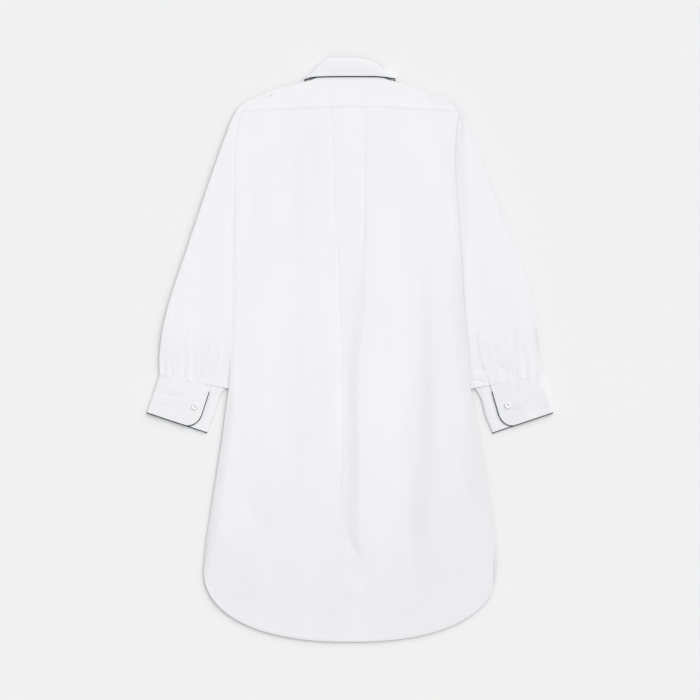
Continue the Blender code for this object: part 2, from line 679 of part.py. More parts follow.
def make_cuff_piping(side, collection):
    """Navy cord down the overlap's edge, along the lower edge, and back on the far side."""
    high = 2 * CUFF_LAYER + PIPING_RADIUS
    low = PIPING_RADIUS
    clear = PIPING_RADIUS + GAP
    path = []
    for k in range(13):
        v = lerp(PIPING_START, 1.0, math.sin(math.pi / 2 * k / 12))
        outer, length, along, down = cuff_ways(side, v)
        lean = corner_lean(side, v)
        reach = overlap_end(side, v) + clear * math.sqrt(1.0 - lean * lean)
        spot = outer + along * reach + down * clear * lean
        path.append((spot.x, spot.y, high))
    turn = (high - low) / 2

    def add(s, z):
        spot = outer + along * s + down * clear
        path.append((spot.x, spot.y, z))

    start = overlap_end(side, 1.0)
    for k in range(1, 5):
        add(lerp(start, turn, k / 4), high)
    for s, z in turned(turn, low + turn, -turn, (45, 0, -45)):
        add(s, z)
    for k in range(5):
        add(lerp(turn, length - turn, k / 4), low)
    for s, z in turned(length - turn, low + turn, turn, (-45, 0, 45)):
        add(s, z)
    for k in range(4):
        add(lerp(length - turn, start + TAIL_CLEAR, k / 3), high)
    add_piping(f"cuff_piping_{side}", path, collection)


# Collar
def strip_ends(strip):
    """A strip's near and far ends, and the way from the one to the other."""
    near, far = Vector((strip.near_x, strip.near_y)), Vector((strip.far_x, strip.far_y))
    return near, far, (far - near).normalized()


def square_to(way, towards):
    """The way at right angles to a way, on the side that is asked for."""
    square = Vector((-way.y, way.x))
    return square if square.dot(towards) > 0 else -square


def strip_rows(strips, low, high, bow):
    """Middle surface of a strip that goes round the neck, turning over at its two sides."""
    rows = []
    across = (0.0, 0.25, 0.5, 0.75, 1.0)
    radius = (high - low) / 2
    for index, strip in enumerate(strips):
        near, far, away = strip_ends(strip)
        if index and strips[index - 1].turn != strip.turn:
            out = square_to(away, Vector((near.x, 0.0)))
            for k in range(1, TURN_STEPS):
                angle = math.pi * k / TURN_STEPS
                level = -math.cos(angle) if strip.turn else math.cos(angle)
                shift = out * radius * math.sin(angle)
                rows.append([((near.lerp(far, a) + shift).x, (near.lerp(far, a) + shift).y,
                              low + radius * (1 + level)) for a in across])
        level = high if strip.turn else low
        lift = bow if strip.turn else 0.0
        rows.append([(near.lerp(far, a).x, near.lerp(far, a).y, level + lift * math.sin(math.pi * a))
                     for a in across])
    return rows


def make_collar(collection):
    leaf_low = STIFF / 2 + 0.02
    yoke_top = LAYER + LEAF_LIFT + CLOTH
    leaf_high = yoke_top + GAP + STIFF / 2
    leaf = strip_rows(LEAF_LEFT + LEAF_RIGHT, leaf_low, leaf_high, 0.5)
    add_cloth("collar_leaf", leaf, collection, wall=STIFF)
    stand_low = LEAF_LIFT + CLOTH / 2
    stand = strip_rows(STAND_LEFT + STAND_RIGHT, stand_low, stand_low + LAYER, 0.0)
    add_cloth("collar_stand", stand, collection)
    make_collar_piping(leaf_low, leaf_high, yoke_top, collection)


def make_collar_piping(leaf_low, leaf_high, yoke_top, collection):
    """Navy cord along the leaf's outer edge and up both front edges."""
    clear = PIPING_RADIUS + PIPING_GAP
    low, high = PIPING_RADIUS, yoke_top + GAP + PIPING_RADIUS
    radius = (high - low) / 2
    strips = LEAF_LEFT + LEAF_RIGHT
    path = []
    near, far, away = strip_ends(strips[0])
    front = square_to(away, Vector((1.0, 0.0)))
    for a in (0.02, 0.35, 0.7, 0.96):
        spot = near.lerp(far, a) + front * clear
        path.append((spot.x, spot.y, low))
    corner = far + away * clear * 0.9 + front * clear * 0.45
    path.append((corner.x, corner.y, low))
    side_clear = clear + 0.6
    for index, strip in enumerate(strips[1:-1], 1):
        near, far, away = strip_ends(strip)
        before, after = strips[index - 1], strips[index + 1]
        run = Vector((after.far_x - before.far_x, after.far_y - before.far_y)).normalized()
        spot = far + square_to(run, away) * clear
        if before.turn != strip.turn:
            side_out = square_to(away, Vector((near.x, 0.0)))
            spot = far + away * side_clear
            for k in range(1, TURN_STEPS):
                angle = math.pi * k / TURN_STEPS
                level = -math.cos(angle) if strip.turn else math.cos(angle)
                shifted = spot + side_out * radius * math.sin(angle)
                path.append((shifted.x, shifted.y, low + radius * (1 + level)))
        elif after.turn != strip.turn:
            spot = far + away * side_clear
        path.append((spot.x, spot.y, high if strip.turn else low))
    mirrored = [(-x, y, z) for x, y, z in path[:5]]
    add_piping("collar_piping", path + mirrored[::-1], collection)


def make_buttons(collection):
    """One button on each cuff, and a row down the front that the garment lies on."""
    cuff_top = 2 * CUFF_LAYER + STIFF + GAP
    for side in ("left", "right"):
        cuff = CUFFS[side]
        add_button(f"cuff_button_{side}", sign_of(side) * cuff.bx, cuff.by, cuff_top, CUFF_BUTTON_RADIUS,
                   CUFF_BUTTON_THICK, collection)
    for index in range(FRONT_BUTTON_COUNT):
        y = FRONT_BUTTON_TOP_Y - index * FRONT_BUTTON_PITCH
        add_button(f"front_button_{index + 1}", 0.0, y, 0.0, CUFF_BUTTON_RADIUS, BUTTON_THICK, collection)


def build():
    for obj in list(bpy.data.objects):
        bpy.data.objects.remove(obj, do_unlink=True)
    garment = bpy.data.collections.new("nightshirt")
    bpy.context.scene.collection.children.link(garment)
    make_back(garment)
    make_yoke(garment)
    for side in ("left", "right"):
        make_front(side, garment)
        make_sleeve(side, garment)
        make_sleeve_placket(side, garment)
        make_cuff(side, garment)
        make_cuff_piping(side, garment)
    make_band("front_band_right", OUTER_BAND_LIFT, garment)
    make_band("front_band_left", INNER_BAND_LIFT, garment)
    make_collar(garment)
    make_buttons(garment)


build()
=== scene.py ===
"""Looks of the white cotton nightshirt with navy piping, laid flat on its front, its back upwards.

Sizes are in millimetres in the CAD frame until add_grid() and the like turn them into metres.
"""
import math
from collections import namedtuple

import bmesh
import bpy
import numpy as np
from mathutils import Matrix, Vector
from mathutils.bvhtree import BVHTree


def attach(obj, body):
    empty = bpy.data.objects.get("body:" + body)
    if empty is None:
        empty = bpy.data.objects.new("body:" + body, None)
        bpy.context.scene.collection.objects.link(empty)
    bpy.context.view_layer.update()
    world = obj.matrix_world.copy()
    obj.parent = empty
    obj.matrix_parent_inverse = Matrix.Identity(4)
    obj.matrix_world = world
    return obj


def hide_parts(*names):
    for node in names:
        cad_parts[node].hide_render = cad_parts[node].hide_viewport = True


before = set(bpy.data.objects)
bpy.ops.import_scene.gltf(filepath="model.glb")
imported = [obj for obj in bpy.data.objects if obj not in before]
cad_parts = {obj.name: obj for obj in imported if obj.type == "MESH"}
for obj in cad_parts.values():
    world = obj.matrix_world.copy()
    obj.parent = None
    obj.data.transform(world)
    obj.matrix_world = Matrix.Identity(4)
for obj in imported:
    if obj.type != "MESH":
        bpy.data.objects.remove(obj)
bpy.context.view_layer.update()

MM = 0.001

# Cloth, seams and stacking
WALL = 0.3
STIFF_WALL = 0.7
EDGE_ANGLE = 46.0
GAP = 0.3
LAYER = 1.3
BACK_LEVEL = 9.0
FRONT_LEVEL = 0.3
OUTER_BAND_LEVEL = 2.3
INNER_BAND_LEVEL = 3.6
PLEAT_STEP = 0.4
PIPING_RADIUS = 1.25
CORD_RADIUS = 0.8
LEAF_LIFT = 2 * PIPING_RADIUS + 0.2
STIFF = 1.2
CUFF_LAYER = 2.3
CUFF_BEND = 0.9
BAND_WALL = 0.8
STAND_WALL = 0.8
PLACKET_WALL = 0.24
CORD_SIDES = 14
STITCH_PITCH = 2.6
STITCH_SHARE = 0.72
STITCH_RADIUS = 0.17
STITCH_STEP = 1.2

# Body outline
BAND_HALF = 17.0
HEM_TURN_Y = -404.0
HEM_DROP = 135.3
HEM_HALF = 270.5
HEM_POWER = 2.3
HEM_LEVEL = 8.4
SHOULDER_LEVEL = 9.0
FRONT_INSET = 0.6
FRONT_HEM_LEVEL = 3.0
HEM_SINK = 3.8
HEM_SINK_REACH = 150.0
FRONT_RISE_HALF = 52.0
YOKE_SEAM_Y = 448.6
YOKE_SEAM_DROP = 9.0
YOKE_HALF = 200.0
NECK_HALF = 70.4
LONG_FLANK = 2.2
POINTS_OUT = 132.0
POINTS_LOW = 365.0
POINTS_BLEND = 40.0

# Sleeves and cuffs
OUTER_EDGE_LEVELS = {"left": 8.1, "right": 8.8}
SLEEVE_LEVEL = 8.5
SLEEVE_SEAM_LEVEL = 5.2
SLIT_DROPS = {"left": 1.2, "right": 0.3}
UNDER_LEVEL = 0.3
TUCK = 1.8
CUFF_TUCK = 2.2
CUFF_TUCK_RISE = 1.9
OVERLAP_REACH = 97.0
UNDERLAP_REACH = 62.0
CORNER_ROUND = 24.0
PIPING_START = 0.16

# Buttons
BUTTON_RADIUS = 5.8
CUFF_BUTTON_THICK = 2.2
FRONT_BUTTON_THICK = 1.6
BUTTON_SIDES = 40
BUTTON_EDGE_ANGLE = 38.0
HOLE_OUT = 0.27
HOLE_RADIUS = 0.115
FRONT_BUTTON_COUNT = 7
FRONT_BUTTON_TOP_Y = 420.0
FRONT_BUTTON_PITCH = 105.0


def rows_of(kind, *rows):
    return tuple(kind(*row) for row in rows)


Crease = namedtuple("Crease", "x0 y0 x1 y1 half depth")
BodyEdge = namedtuple("BodyEdge", "y left right")
BODY_EDGES = rows_of(BodyEdge,
    (450, 188, 191.5), (439.5, 197.8, 200.6), (430, 202, 200.4), (417, 206.2, 198.4),
    (394, 210.4, 195.2), (366, 212.9, 193.6), (313.5, 213.8, 195.5), (202.5, 213.5, 203.5),
    (91.5, 216, 211), (-1, 220, 219), (-65.5, 223.5, 223), (-130.5, 232, 232), (-241.5, 249, 250),
    (-352.5, 265.5, 267.5), (-404, HEM_HALF, HEM_HALF))

# How the body's two sides roll down: height of the edge and how far in the roll reaches
Roll = namedtuple("Roll", "y left_z left_reach right_z right_reach")
ROLLS = rows_of(Roll,
    (450, 8.6, 7, 9.3, 6), (300, 8.6, 7, 9.7, 8), (210, 8.6, 7, 9.8, 12), (150, 8.6, 7, 11.8, 26),
    (-50, 7.6, 9, 11.4, 24), (-120, 5.2, 15, 10.4, 20), (-404, 4.8, 16, 9.9, 28),
    (-540, 4.8, 16, 9.9, 28))

Shoulder = namedtuple("Shoulder", "x left right")
SHOULDERS = rows_of(Shoulder,
    (70.4, 498.6, 498.6), (92, 493, 492.8), (111, 488, 486.7), (128, 483.6, 480.6), (138, 479.5, 476.2),
    (143, 472.6, 469.2), (152, 465.2, 462.4), (166, 459, 458), (177, 455, 456), (187, 450, 453),
    (194, 444.3, 448.6), (198.5, 438.6, 443.8))
Neck = namedtuple("Neck", "x y")
BACK_NECK = rows_of(Neck,
    (0, 509), (35, 506.6), (60, 502.4), (70.4, 498.6))
FRONT_NECK = rows_of(Neck,
    (17, 448.5), (25, 452.5), (49, 465), (65.3, 486.6), (70.4, 498.6))

# Lines across each sleeve in plan, from its outer edge to its inner edge, shoulder to cuff
Across = namedtuple("Across", "out_x out_y in_x in_y")
SLEEVES = {
    "left": rows_of(Across,
        (136, 479.8, 138, 473.6), (143.6, 478.4, 144.8, 473.4), (153.5, 474.6, 153.2, 466),
        (165.5, 469.6, 166.4, 459.9), (178, 464, 177.5, 455.9), (189.5, 458.4, 187.7, 450.9),
        (199.5, 452.4, 194.8, 445.1), (208.5, 443.6, 200.6, 436), (215, 431.4, 203.9, 427),
        (221, 419, 207.2, 416.6), (229.5, 395.6, 211.2, 393.8), (240, 368, 213.8, 365.8),
        (257, 319, 214.7, 315), (275, 265, 214.6, 259), (290, 220, 214.4, 208), (305, 175, 214.9, 158),
        (319, 134, 215.9, 112), (331.5, 95.5, 217.5, 71), (341.2, 60.5, 219.2, 34),
        (347.6, 28.5, 221, 0), (351.2, 0, 222.6, -28), (352.5, -24, 223.4, -51),
        (351.8, -45, 223.8, -71.5)),
    "right": rows_of(Across,
        (136, 476.6, 138, 470.6), (144.2, 475, 145, 470), (154, 470.6, 153.4, 463.2),
        (166, 466, 166.4, 458.9), (178.5, 462.8, 177.6, 456.9), (189, 457.8, 187.7, 453.9),
        (198.5, 451.8, 195, 449.5), (206, 441.6, 201, 440.6), (212.5, 430.4, 201.3, 430),
        (218.5, 417, 199.4, 416.6), (226.6, 396, 196.6, 393.8), (237.5, 368, 195.2, 365.8),
        (257, 318, 196.2, 314), (278, 264, 199.8, 258), (295, 220, 204, 208), (311.5, 175, 207.4, 158),
        (324.5, 134, 210.6, 112), (335.3, 95.5, 213.4, 71), (342.6, 60.5, 216.6, 34),
        (348.2, 28.5, 219.7, 0), (352.3, 0, 221.8, -28), (353.7, -24, 223, -51),
        (354.8, -45, 223.8, -71.5)),
}

# Height of each sleeve's inner edge and how far the cloth takes to rise from it, down the sleeve
InnerEdge = namedtuple("InnerEdge", "y left_z left_reach right_z right_reach")
INNER_EDGES = rows_of(InnerEdge,
    (480, 8.8, 6, 8.8, 6), (440, 7.9, 6, 7.6, 12), (400, 7.9, 5, 5.8, 24), (230, 7.9, 5, 6, 24),
    (170, 7.9, 5, 7.2, 10), (100, 7.9, 5, 8, 6), (-30, 7.9, 5, 8, 6), (-70, 7.2, 6, 7.2, 6))

# Each cuff's four corners, as on the right side, and the place of its button
Cuff = namedtuple("Cuff", "top_out_x top_out_y top_in_x top_in_y low_in_x low_in_y low_out_x low_out_y bx by")
CUFFS = {
    "left": Cuff(351.8, -45.0, 228.0, -68.0, 263.8, -152.0, 375.4, -115.0, 286.5, -104.5),
    "right": Cuff(354.8, -45.0, 228.0, -68.0, 262.8, -152.6, 375.2, -115.0, 291.5, -102.0),
}

CUFF_CREASES = {
    "left": rows_of(Crease,
        (-366, -82, -300, -92, 3, 0.35), (-362, -101, -316, -112, 3.4, 0.35),
        (-340, -70, -300, -80, 4, -0.3), (-276, -90, -284, -122, 5, 0.4)),
    "right": rows_of(Crease,
        (356, -62, 312, -104, 4.5, -0.9), (366, -74, 334, -116, 9, 1), (318, -124, 368, -104, 3.4, 0.5),
        (286, -112, 320, -116, 4, 0.4), (300, -66, 322, -96, 8, 0.5)),
}

# The pleat's left and right edges, how far its folds reach under, and how closed it is
Pleat = namedtuple("Pleat", "y left right under closed")
PLEAT = rows_of(Pleat,
    (449, -35, 30.5, 30, 1), (369, -30.5, 30.5, 27.5, 1), (276.5, -28.6, 30.5, 25, 1),
    (184, -22, 29.5, 21.5, 1), (91.5, -18.5, 25, 17, 1), (-1, -15.5, 15.5, 11, 1),
    (-93.5, -15, 11.5, 8, 1), (-186, -15, 9.5, 5, 0.9), (-270, -16.5, 8.5, 1, 0.6),
    (-361.5, -16.5, 9, 0, 0.25), (-440, -16, 9.5, 0, 0), (-545, -15, 10, 0, 0))

# Columns beside the pleat in millimetres, and across its face as shares
BESIDE = np.array((-0.4, 0.55, 1.1, 2.0, 3.4, 5.5))
FACE_AT = np.array((0.02, 0.06, 0.12, 0.2, 0.3, 0.4, 0.5, 0.6, 0.68, 0.75, 0.81, 0.86, 0.9, 0.925,
                    0.945, 0.96, 0.975, 0.99))

# The dip at the pleat's left edge, and the slope that rises towards its right edge: where the slope
# ends, how wide and high it is, and how evenly it rises (0 steepest at its end, 1 even)
Slope = namedtuple("Slope", "y dip dip_half end wide high even")
SLOPES = rows_of(Slope,
    (449, 0.15, 5, 31, 5, 0.35, 0), (369, 0.2, 6, 31, 5.5, 0.7, 0), (276, 0.2, 6, 31, 5.5, 0.95, 0),
    (200, 0.3, 7, 31, 11, 1.4, 0), (147, 0.35, 7, 30, 24, 2.3, 0), (91.5, 0.45, 8, 28, 30, 3.4, 0.3),
    (36, 0.6, 9, 24, 27, 3.6, 0.6), (-20, 0.7, 10, 19, 25, 3.9, 0.9), (-93.5, 0.8, 11, 19.5, 25, 4.3, 1),
    (-167, 0.8, 11, 21, 27, 4.4, 1), (-241, 0.6, 11, 21, 27, 4.4, 1), (-315, 0.3, 11, 17.5, 26, 3.4, 1),
    (-363, 0.1, 11, 18, 22, 2, 1), (-395, 0, 11, 18, 20, 0.3, 1), (-410, 0, 11, 18, 20, 0, 1),
    (-545, 0, 11, 18, 20, 0, 1))

# Long soft troughs in the back: a line of places down each, with its half width and depth
Trough = namedtuple("Trough", "y x half depth")
BACK_TROUGHS = (
    rows_of(Trough,
        (150, 136, 8, 0), (90, 135, 9, 1), (-20, 129, 16, 2.4), (-167, 124, 24, 4), (-280, 106, 27, 4.2),
        (-390, 110, 30, 3), (-480, 105, 30, 0)),
    rows_of(Trough,
        (420, -112, 14, 0), (300, -108, 18, 1.2), (120, -104, 20, 1.2), (-80, -116, 26, 0.9),
        (-300, -150, 30, 1.2), (-440, -165, 30, 0)),
)

# Small creases: from one end to the other, half width, and depth (a ridge if it is negative)
BACK_CREASES = rows_of(Crease,
    (-75, 395, -58, 300, 12, 0.5), (-150, 370, -140, 250, 16, 0.35), (-188, 340, -196, 150, 10, 0.4),
    (165, 400, 178, 290, 12, 0.4), (90, 330, 80, 180, 16, 0.3), (-120, -60, -88, -240, 20, 0.5),
    (-205, -260, -150, -330, 12, 0.5), (-215, -150, -228, -300, 12, 0.5),
    (205, -150, 226, -330, 14, 0.6), (150, -440, 170, -415, 7, 0.6), (-60, -430, -10, -400, 12, 0.4),
    (60, -260, 84, -430, 18, 0.5), (4, -350, 14, -385, 8, 0.9), (2, -425, 10, -462, 16, -0.8),
    (-45, -170, -52, -330, 16, 0.4), (196, 60, 205, -60, 10, -0.4))
FRONT_CREASES = rows_of(Crease,
    (-150, 330, -130, 120, 16, -0.5), (140, 300, 150, 60, 18, -0.5), (-100, 60, -120, -180, 20, -0.6),
    (110, -20, 130, -260, 20, -0.6), (-190, -160, -205, -380, 14, -0.5),
    (190, -200, 210, -390, 14, -0.5), (-70, -300, -90, -470, 14, -0.4), (80, -330, 60, -480, 14, -0.4))

# Gathers above each cuff: place across the sleeve (0 outer edge, 1 inner edge), half width, depth and rise
Gather = namedtuple("Gather", "at half depth rise")
GATHERS = {
    "left": rows_of(Gather,
        (0.065, 3, 0.7, 52), (0.12, 2.4, -0.3, 40), (0.175, 3.2, 0.6, 40), (0.24, 2.6, 0.4, 60),
        (0.3, 2.4, 0.35, 34), (0.345, 3.5, 0.6, 150), (0.41, 2.4, -0.35, 60), (0.47, 3, 0.6, 130),
        (0.52, 2.4, 0.4, 50), (0.58, 3, 0.5, 110), (0.64, 2.6, 0.35, 40)),
    "right": rows_of(Gather,
        (0.09, 3.2, 0.6, 34), (0.16, 4, -0.4, 60), (0.22, 3.4, 0.8, 60), (0.29, 3.4, -0.5, 70),
        (0.36, 3, 0.5, 50), (0.42, 2.6, 0.45, 90), (0.48, 3, 0.4, 60), (0.54, 2.6, 0.5, 44),
        (0.6, 3, -0.35, 36), (0.66, 3, 0.5, 30), (0.74, 3, 0.3, 40)),
}
SLEEVE_CREASES = {
    "left": rows_of(Crease,
        (-262, 250, -285, 120, 14, 0.4), (-226, 330, -232, 60, 9, 0.4), (-318, 90, -326, 20, 8, 0.3)),
    "right": rows_of(Crease,
        (204, 432, 204.5, 398, 4.5, 1), (250, 330, 290, 200, 16, 0.4), (232, 180, 262, 60, 12, 0.5),
        (330, 60, 336, -30, 9, 0.6), (300, 40, 306, -10, 6, 0.7), (361, 36, 312, -26, 14, 1.2),
        (330, 46, 302, -20, 6, -0.7), (228, -36, 262, -42, 3.4, 0.6), (224, -56, 252, -62, 3, 0.7),
        (268, -26, 292, -44, 4, 0.6), (240, 14, 252, 20, 6, -0.5), (262, 4, 276, -10, 5, 0.6)),
}
# The placket's two edges as shares of the sleeve's width, down to the cuff
Facing = namedtuple("Facing", "outer inner")
PLACKET = rows_of(Facing,
    (0.675, 0.84), (0.685, 0.85), (0.655, 0.82), (0.597, 0.762), (0.55, 0.715))

# Lines across the collar, from its seam to its edge: turn is 1 on the top layer, 0 on the low one
Strip = namedtuple("Strip", "near_x near_y far_x far_y turn")
LEAF_LEFT = rows_of(Strip,
    (-4, 468, -48.5, 415.5, 0), (-16, 477, -62.5, 436, 0), (-30, 493, -74.5, 459.5, 0),
    (-40, 513, -80, 481, 0), (-46.5, 535.5, -82, 500, 0), (-46.5, 535.5, -82, 500, 1),
    (-41, 538, -69, 503.9, 1), (-24, 539, -36, 505.4, 1))
LEAF_RIGHT = rows_of(Strip,
    (0, 539, 0, 505.6, 1), (18.5, 537.5, 22, 505.6, 1), (37, 532.5, 43, 505.6, 1),
    (51, 526, 62, 504.4, 1), (61.5, 517, 81.5, 501.4, 1), (61.5, 517, 81.5, 501.4, 0),
    (50, 506, 79.5, 482, 0), (34, 491, 74.5, 459.5, 0), (16, 477, 62.5, 436, 0),
    (4, 468, 48.5, 415.5, 0))
STAND_LEFT = rows_of(Strip,
    (-0.8, 447.5, -1.8, 466, 0), (-25, 453.4, -14, 474.5, 0), (-48.6, 466, -27.5, 490.5, 0),
    (-64.5, 487.2, -37.5, 511.5, 0), (-68, 499.8, -44.5, 532.5, 0), (-68, 499.8, -44.5, 532.5, 1),
    (-60, 502.9, -39, 535.6, 1), (-35, 507.1, -23, 537, 1))
STAND_RIGHT = rows_of(Strip,
    (0, 509.5, 0, 537.4, 1), (35, 507.1, 19, 535.6, 1), (60, 502.9, 37, 530.4, 1),
    (68, 499.8, 56, 517, 1), (68, 499.8, 56, 517, 0), (64.5, 487.2, 47, 505, 0),
    (48.6, 466, 31.5, 488.5, 0), (25, 453.4, 14, 474.5, 0), (0.8, 447.5, 1.8, 466, 0))
TURN_STEPS = 8
TURN_OUT = 0.8

# Fields of a cut of cloth in metres: flat width and length, its area where that isn't a rectangle,
# how it is held, and what it lies on. No cut is listed here.
Cut = namedtuple("Cut", "piece width length area held on")

# Colours
COTTON = (0.828, 0.8266, 0.8435)
CRISP = (0.806, 0.8045, 0.822)
NAVY = (0.012, 0.017, 0.052)
SHELL = (0.86, 0.86, 0.865)
THREAD = (0.80, 0.80, 0.82)

# Light, floor and camera, in metres and degrees
WORLD_LOW = 0.23
WORLD_TOP = 0.645
KEY_ENERGY = 1.98
KEY_ANGLE = 70.0
KEY_FROM = (0.45, 0.56, 0.70)
CAMERA_HEIGHT = 3.597
CAMERA_LENS = 100.0
CAMERA_SENSOR = 36.0
FLOOR_HALF = 6.0
FLOOR_Z = -0.0002


# Numbers
def lerp(a, b, t):
    return a + (b - a) * t


def ease(t):
    t = np.clip(t, 0.0, 1.0)
    return t * t * (3.0 - 2.0 * t)


def crown(distance, reach):
    return 1.0 - (1.0 - np.clip(distance / reach, 0.0, 1.0)) ** 2


def hermite(keys, values, at):
    """Reads values on a smooth curve between their keys, for one place or many."""
    keys, values = np.asarray(keys, float), np.asarray(values, float)
    if keys[0] > keys[-1]:
        keys, values = keys[::-1], values[::-1]
    slopes = np.gradient(values, keys, edge_order=1)
    slopes[1:-1] = (values[2:] - values[:-2]) / (keys[2:] - keys[:-2])
    at = np.clip(at, keys[0], keys[-1])
    slot = np.clip(np.searchsorted(keys, at, side="right") - 1, 0, len(keys) - 2)
    span = keys[slot + 1] - keys[slot]
    t = (at - keys[slot]) / span
    rise = values[slot + 1] - values[slot]
    start, end = slopes[slot] * span, slopes[slot + 1] * span
    return values[slot] + t * (start + t * (3 * rise - 2 * start - end + t * (start + end - 2 * rise)))


def read(table, key, column, at):
    return hermite([getattr(row, key) for row in table], [getattr(row, column) for row in table], at)


def sign_of(side):
    return -1.0 if side == "left" else 1.0


def facing_up(side, row):
    """The order of a row that turns the same face of the cloth outwards on both sides."""
    return row if side == "left" else row[::-1]


def lengths_along(points):
    return np.concatenate([[0.0], np.cumsum(np.linalg.norm(np.diff(points, axis=0), axis=1))])


def troughs(lines, x, y):
    depth = 0.0
    for line in lines:
        middle, half = read(line, "y", "x", y), read(line, "y", "half", y)
        half = np.where(x < middle, LONG_FLANK * half, half)
        depth = depth + np.maximum(read(line, "y", "depth", y), 0.0) * np.exp(-((x - middle) / half) ** 2)
    return depth


def creases(lines, x, y):
    """Sum of the small creases at a place, each fading out towards its two ends."""
    depth = 0.0
    for c in lines:
        way = np.array((c.x1 - c.x0, c.y1 - c.y0))
        length = np.hypot(*way)
        way = way / length
        along = ((x - c.x0) * way[0] + (y - c.y0) * way[1]) / length
        off = (x - c.x0) * -way[1] + (y - c.y0) * way[0]
        off = off + 0.06 * length * np.sin(2.4 * along + c.half)
        depth = depth + c.depth * ease(1.3 - abs(along - 0.5) * 2.0) * np.exp(-(off / c.half) ** 2)
    return depth


def ripple(x, y, size=1.0):
    """The faint unevenness of cloth that was folded and pressed."""
    return size * (0.16 * np.sin(0.021 * x + 0.013 * y + 0.6) * np.sin(0.017 * y - 0.011 * x)
                   + 0.09 * np.sin(0.047 * x - 0.019 * y + 1.9) * np.sin(0.031 * y + 0.4)
                   + 0.05 * np.sin(0.083 * x + 0.051 * y) * np.sin(0.067 * y - 0.043 * x + 1.1))


# Body outline
def body_edge(side, y):
    return sign_of(side) * read(BODY_EDGES, "y", side, y)


def hem_y(x):
    reach = np.minimum(np.abs(x) / HEM_HALF, 1.0)
    return HEM_TURN_Y - HEM_DROP * (1.0 - reach ** HEM_POWER) ** (1.0 / HEM_POWER)


def yoke_seam_y(x):
    return YOKE_SEAM_Y - YOKE_SEAM_DROP * (np.abs(x) / YOKE_HALF) ** 1.6


def top_y(x, neck):
    """The shoulder line, and inside it the neckline."""
    x = np.asarray(x, float)
    left, right = (read(SHOULDERS, "x", side, np.abs(x)) for side in ("left", "right"))
    shoulder = np.where(x < 0, left, right)
    return np.where(np.abs(x) < NECK_HALF, read(neck, "x", "y", np.abs(x)), shoulder)


def collar_lift(x, y):
    return LEAF_LIFT * ease((POINTS_OUT - np.abs(x)) / POINTS_BLEND) * ease((y - POINTS_LOW) / POINTS_BLEND)


def front_lift(x, y):
    """How far the fronts rise over the buttons, their bands and the collar points."""
    peak = np.where(np.asarray(x) < 0, INNER_BAND_LEVEL, OUTER_BAND_LEVEL) - FRONT_LEVEL
    ridge = peak * ease((FRONT_RISE_HALF - np.abs(x)) / (FRONT_RISE_HALF - BAND_HALF))
    return np.maximum(ridge, collar_lift(x, y))


def back_z(x, y, left, right):
    """Middle of the back's cloth away from the pleat."""
    roll = {name: read(ROLLS, "y", name, y) for name in Roll._fields[1:]}
    hem = hem_y(x)
    left_rise = crown(x - left, roll["left_reach"])
    right_rise = crown(right - x, roll["right_reach"])
    hem_rise = crown(y - hem, 7.0)
    low = np.where(x < 0, roll["left_z"], roll["right_z"])
    rolled = (low - BACK_LEVEL) * (1.0 - np.where(x < 0, left_rise, right_rise))
    hem_fall = (BACK_LEVEL - HEM_LEVEL) * (1.0 - hem_rise) + HEM_SINK * ease(1.0 - (y - hem) / HEM_SINK_REACH)
    z = BACK_LEVEL + np.maximum(rolled, 0.0) - (np.maximum(-rolled, 0.0) ** 4 + hem_fall ** 4) ** 0.25
    inside = ease(np.minimum(np.minimum(x - left, right - x), y - hem) / 30.0)
    sink = troughs(BACK_TROUGHS, x, y) + creases(BACK_CREASES, x, y) + ripple(x, y)
    z = z - sink * inside + 0.18 * ease((7.5 - y + hem) / 1.0) * (1.0 - ease(1.0 - (y - hem)))
    under = front_lift(x, y) + FRONT_LEVEL + 1.2
    return np.maximum(z, np.where(y > POINTS_LOW, under, 0.0))


# Pieces
def settle(obj, nodes=()):
    if nodes:
        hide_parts(*nodes)
    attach(obj, "root")
    return obj


def new_object(name, data, material):
    obj = bpy.data.objects.new(name, data)
    data.materials.append(material)
    bpy.context.scene.collection.objects.link(obj)
    return obj


def add_grid(name, grid, material, wall=WALL, nodes=()):
    """A cloth shell on a grid of points in millimetres, rows by columns."""
    grid = np.asarray(grid, float)
    rows, columns = grid.shape[:2]
    index = np.arange(rows * columns).reshape(rows, columns)
    quads = np.stack([index[:-1, :-1], index[1:, :-1], index[1:, 1:], index[:-1, 1:]], -1).reshape(-1, 4)
    mesh = bpy.data.meshes.new(name)
    mesh.from_pydata((grid.reshape(-1, 3) * MM).tolist(), [], quads.tolist())
    mesh.shade_smooth()
    obj = new_object(name, mesh, material)
    solid = obj.modifiers.new("wall", "SOLIDIFY")
    solid.thickness = wall * MM
    solid.offset = 0.0
    bpy.context.view_layer.update()
    walled = bpy.data.meshes.new_from_object(obj.evaluated_get(bpy.context.evaluated_depsgraph_get()))
    obj.modifiers.clear()
    obj.data = walled
    bpy.data.meshes.remove(mesh)
    walled.name = name
    walled.shade_smooth()
    walled.set_sharp_from_angle(angle=math.radians(EDGE_ANGLE))
    return settle(obj, nodes)


def s_fold(edge_x, inner_x, closed, base, outward, arc=6):
    """One folded edge of the pleat, from the panel up to the pleat's face."""
    half_step = PLEAT_STEP / 2 * closed
    turn = half_step if closed > 0.8 else half_step * closed
    spread = 6.0 * (1.0 - closed)
    points = []
    for k in range(arc + 1):
        angle = math.radians(-90 + 180 * k / arc)
        points.append((inner_x + outward * (turn * math.cos(angle) - spread * (1.2 - 0.4 * k / arc)),
                       base + half_step * (1 + math.sin(angle))))
    inner_end, edge_start = points[-1][0], edge_x + outward * spread * 0.2
    points += [(lerp(inner_end, edge_start, k / 10), base + 2 * half_step) for k in range(1, 10)]
    for k in range(arc + 1):
        angle = math.radians(-90 - 180 * k / arc)
        points.append((edge_x + outward * (turn * math.cos(angle) + spread * (0.2 + 1.0 * k / arc)),
                       base + half_step * (3 + math.sin(angle))))
    return np.array(points)


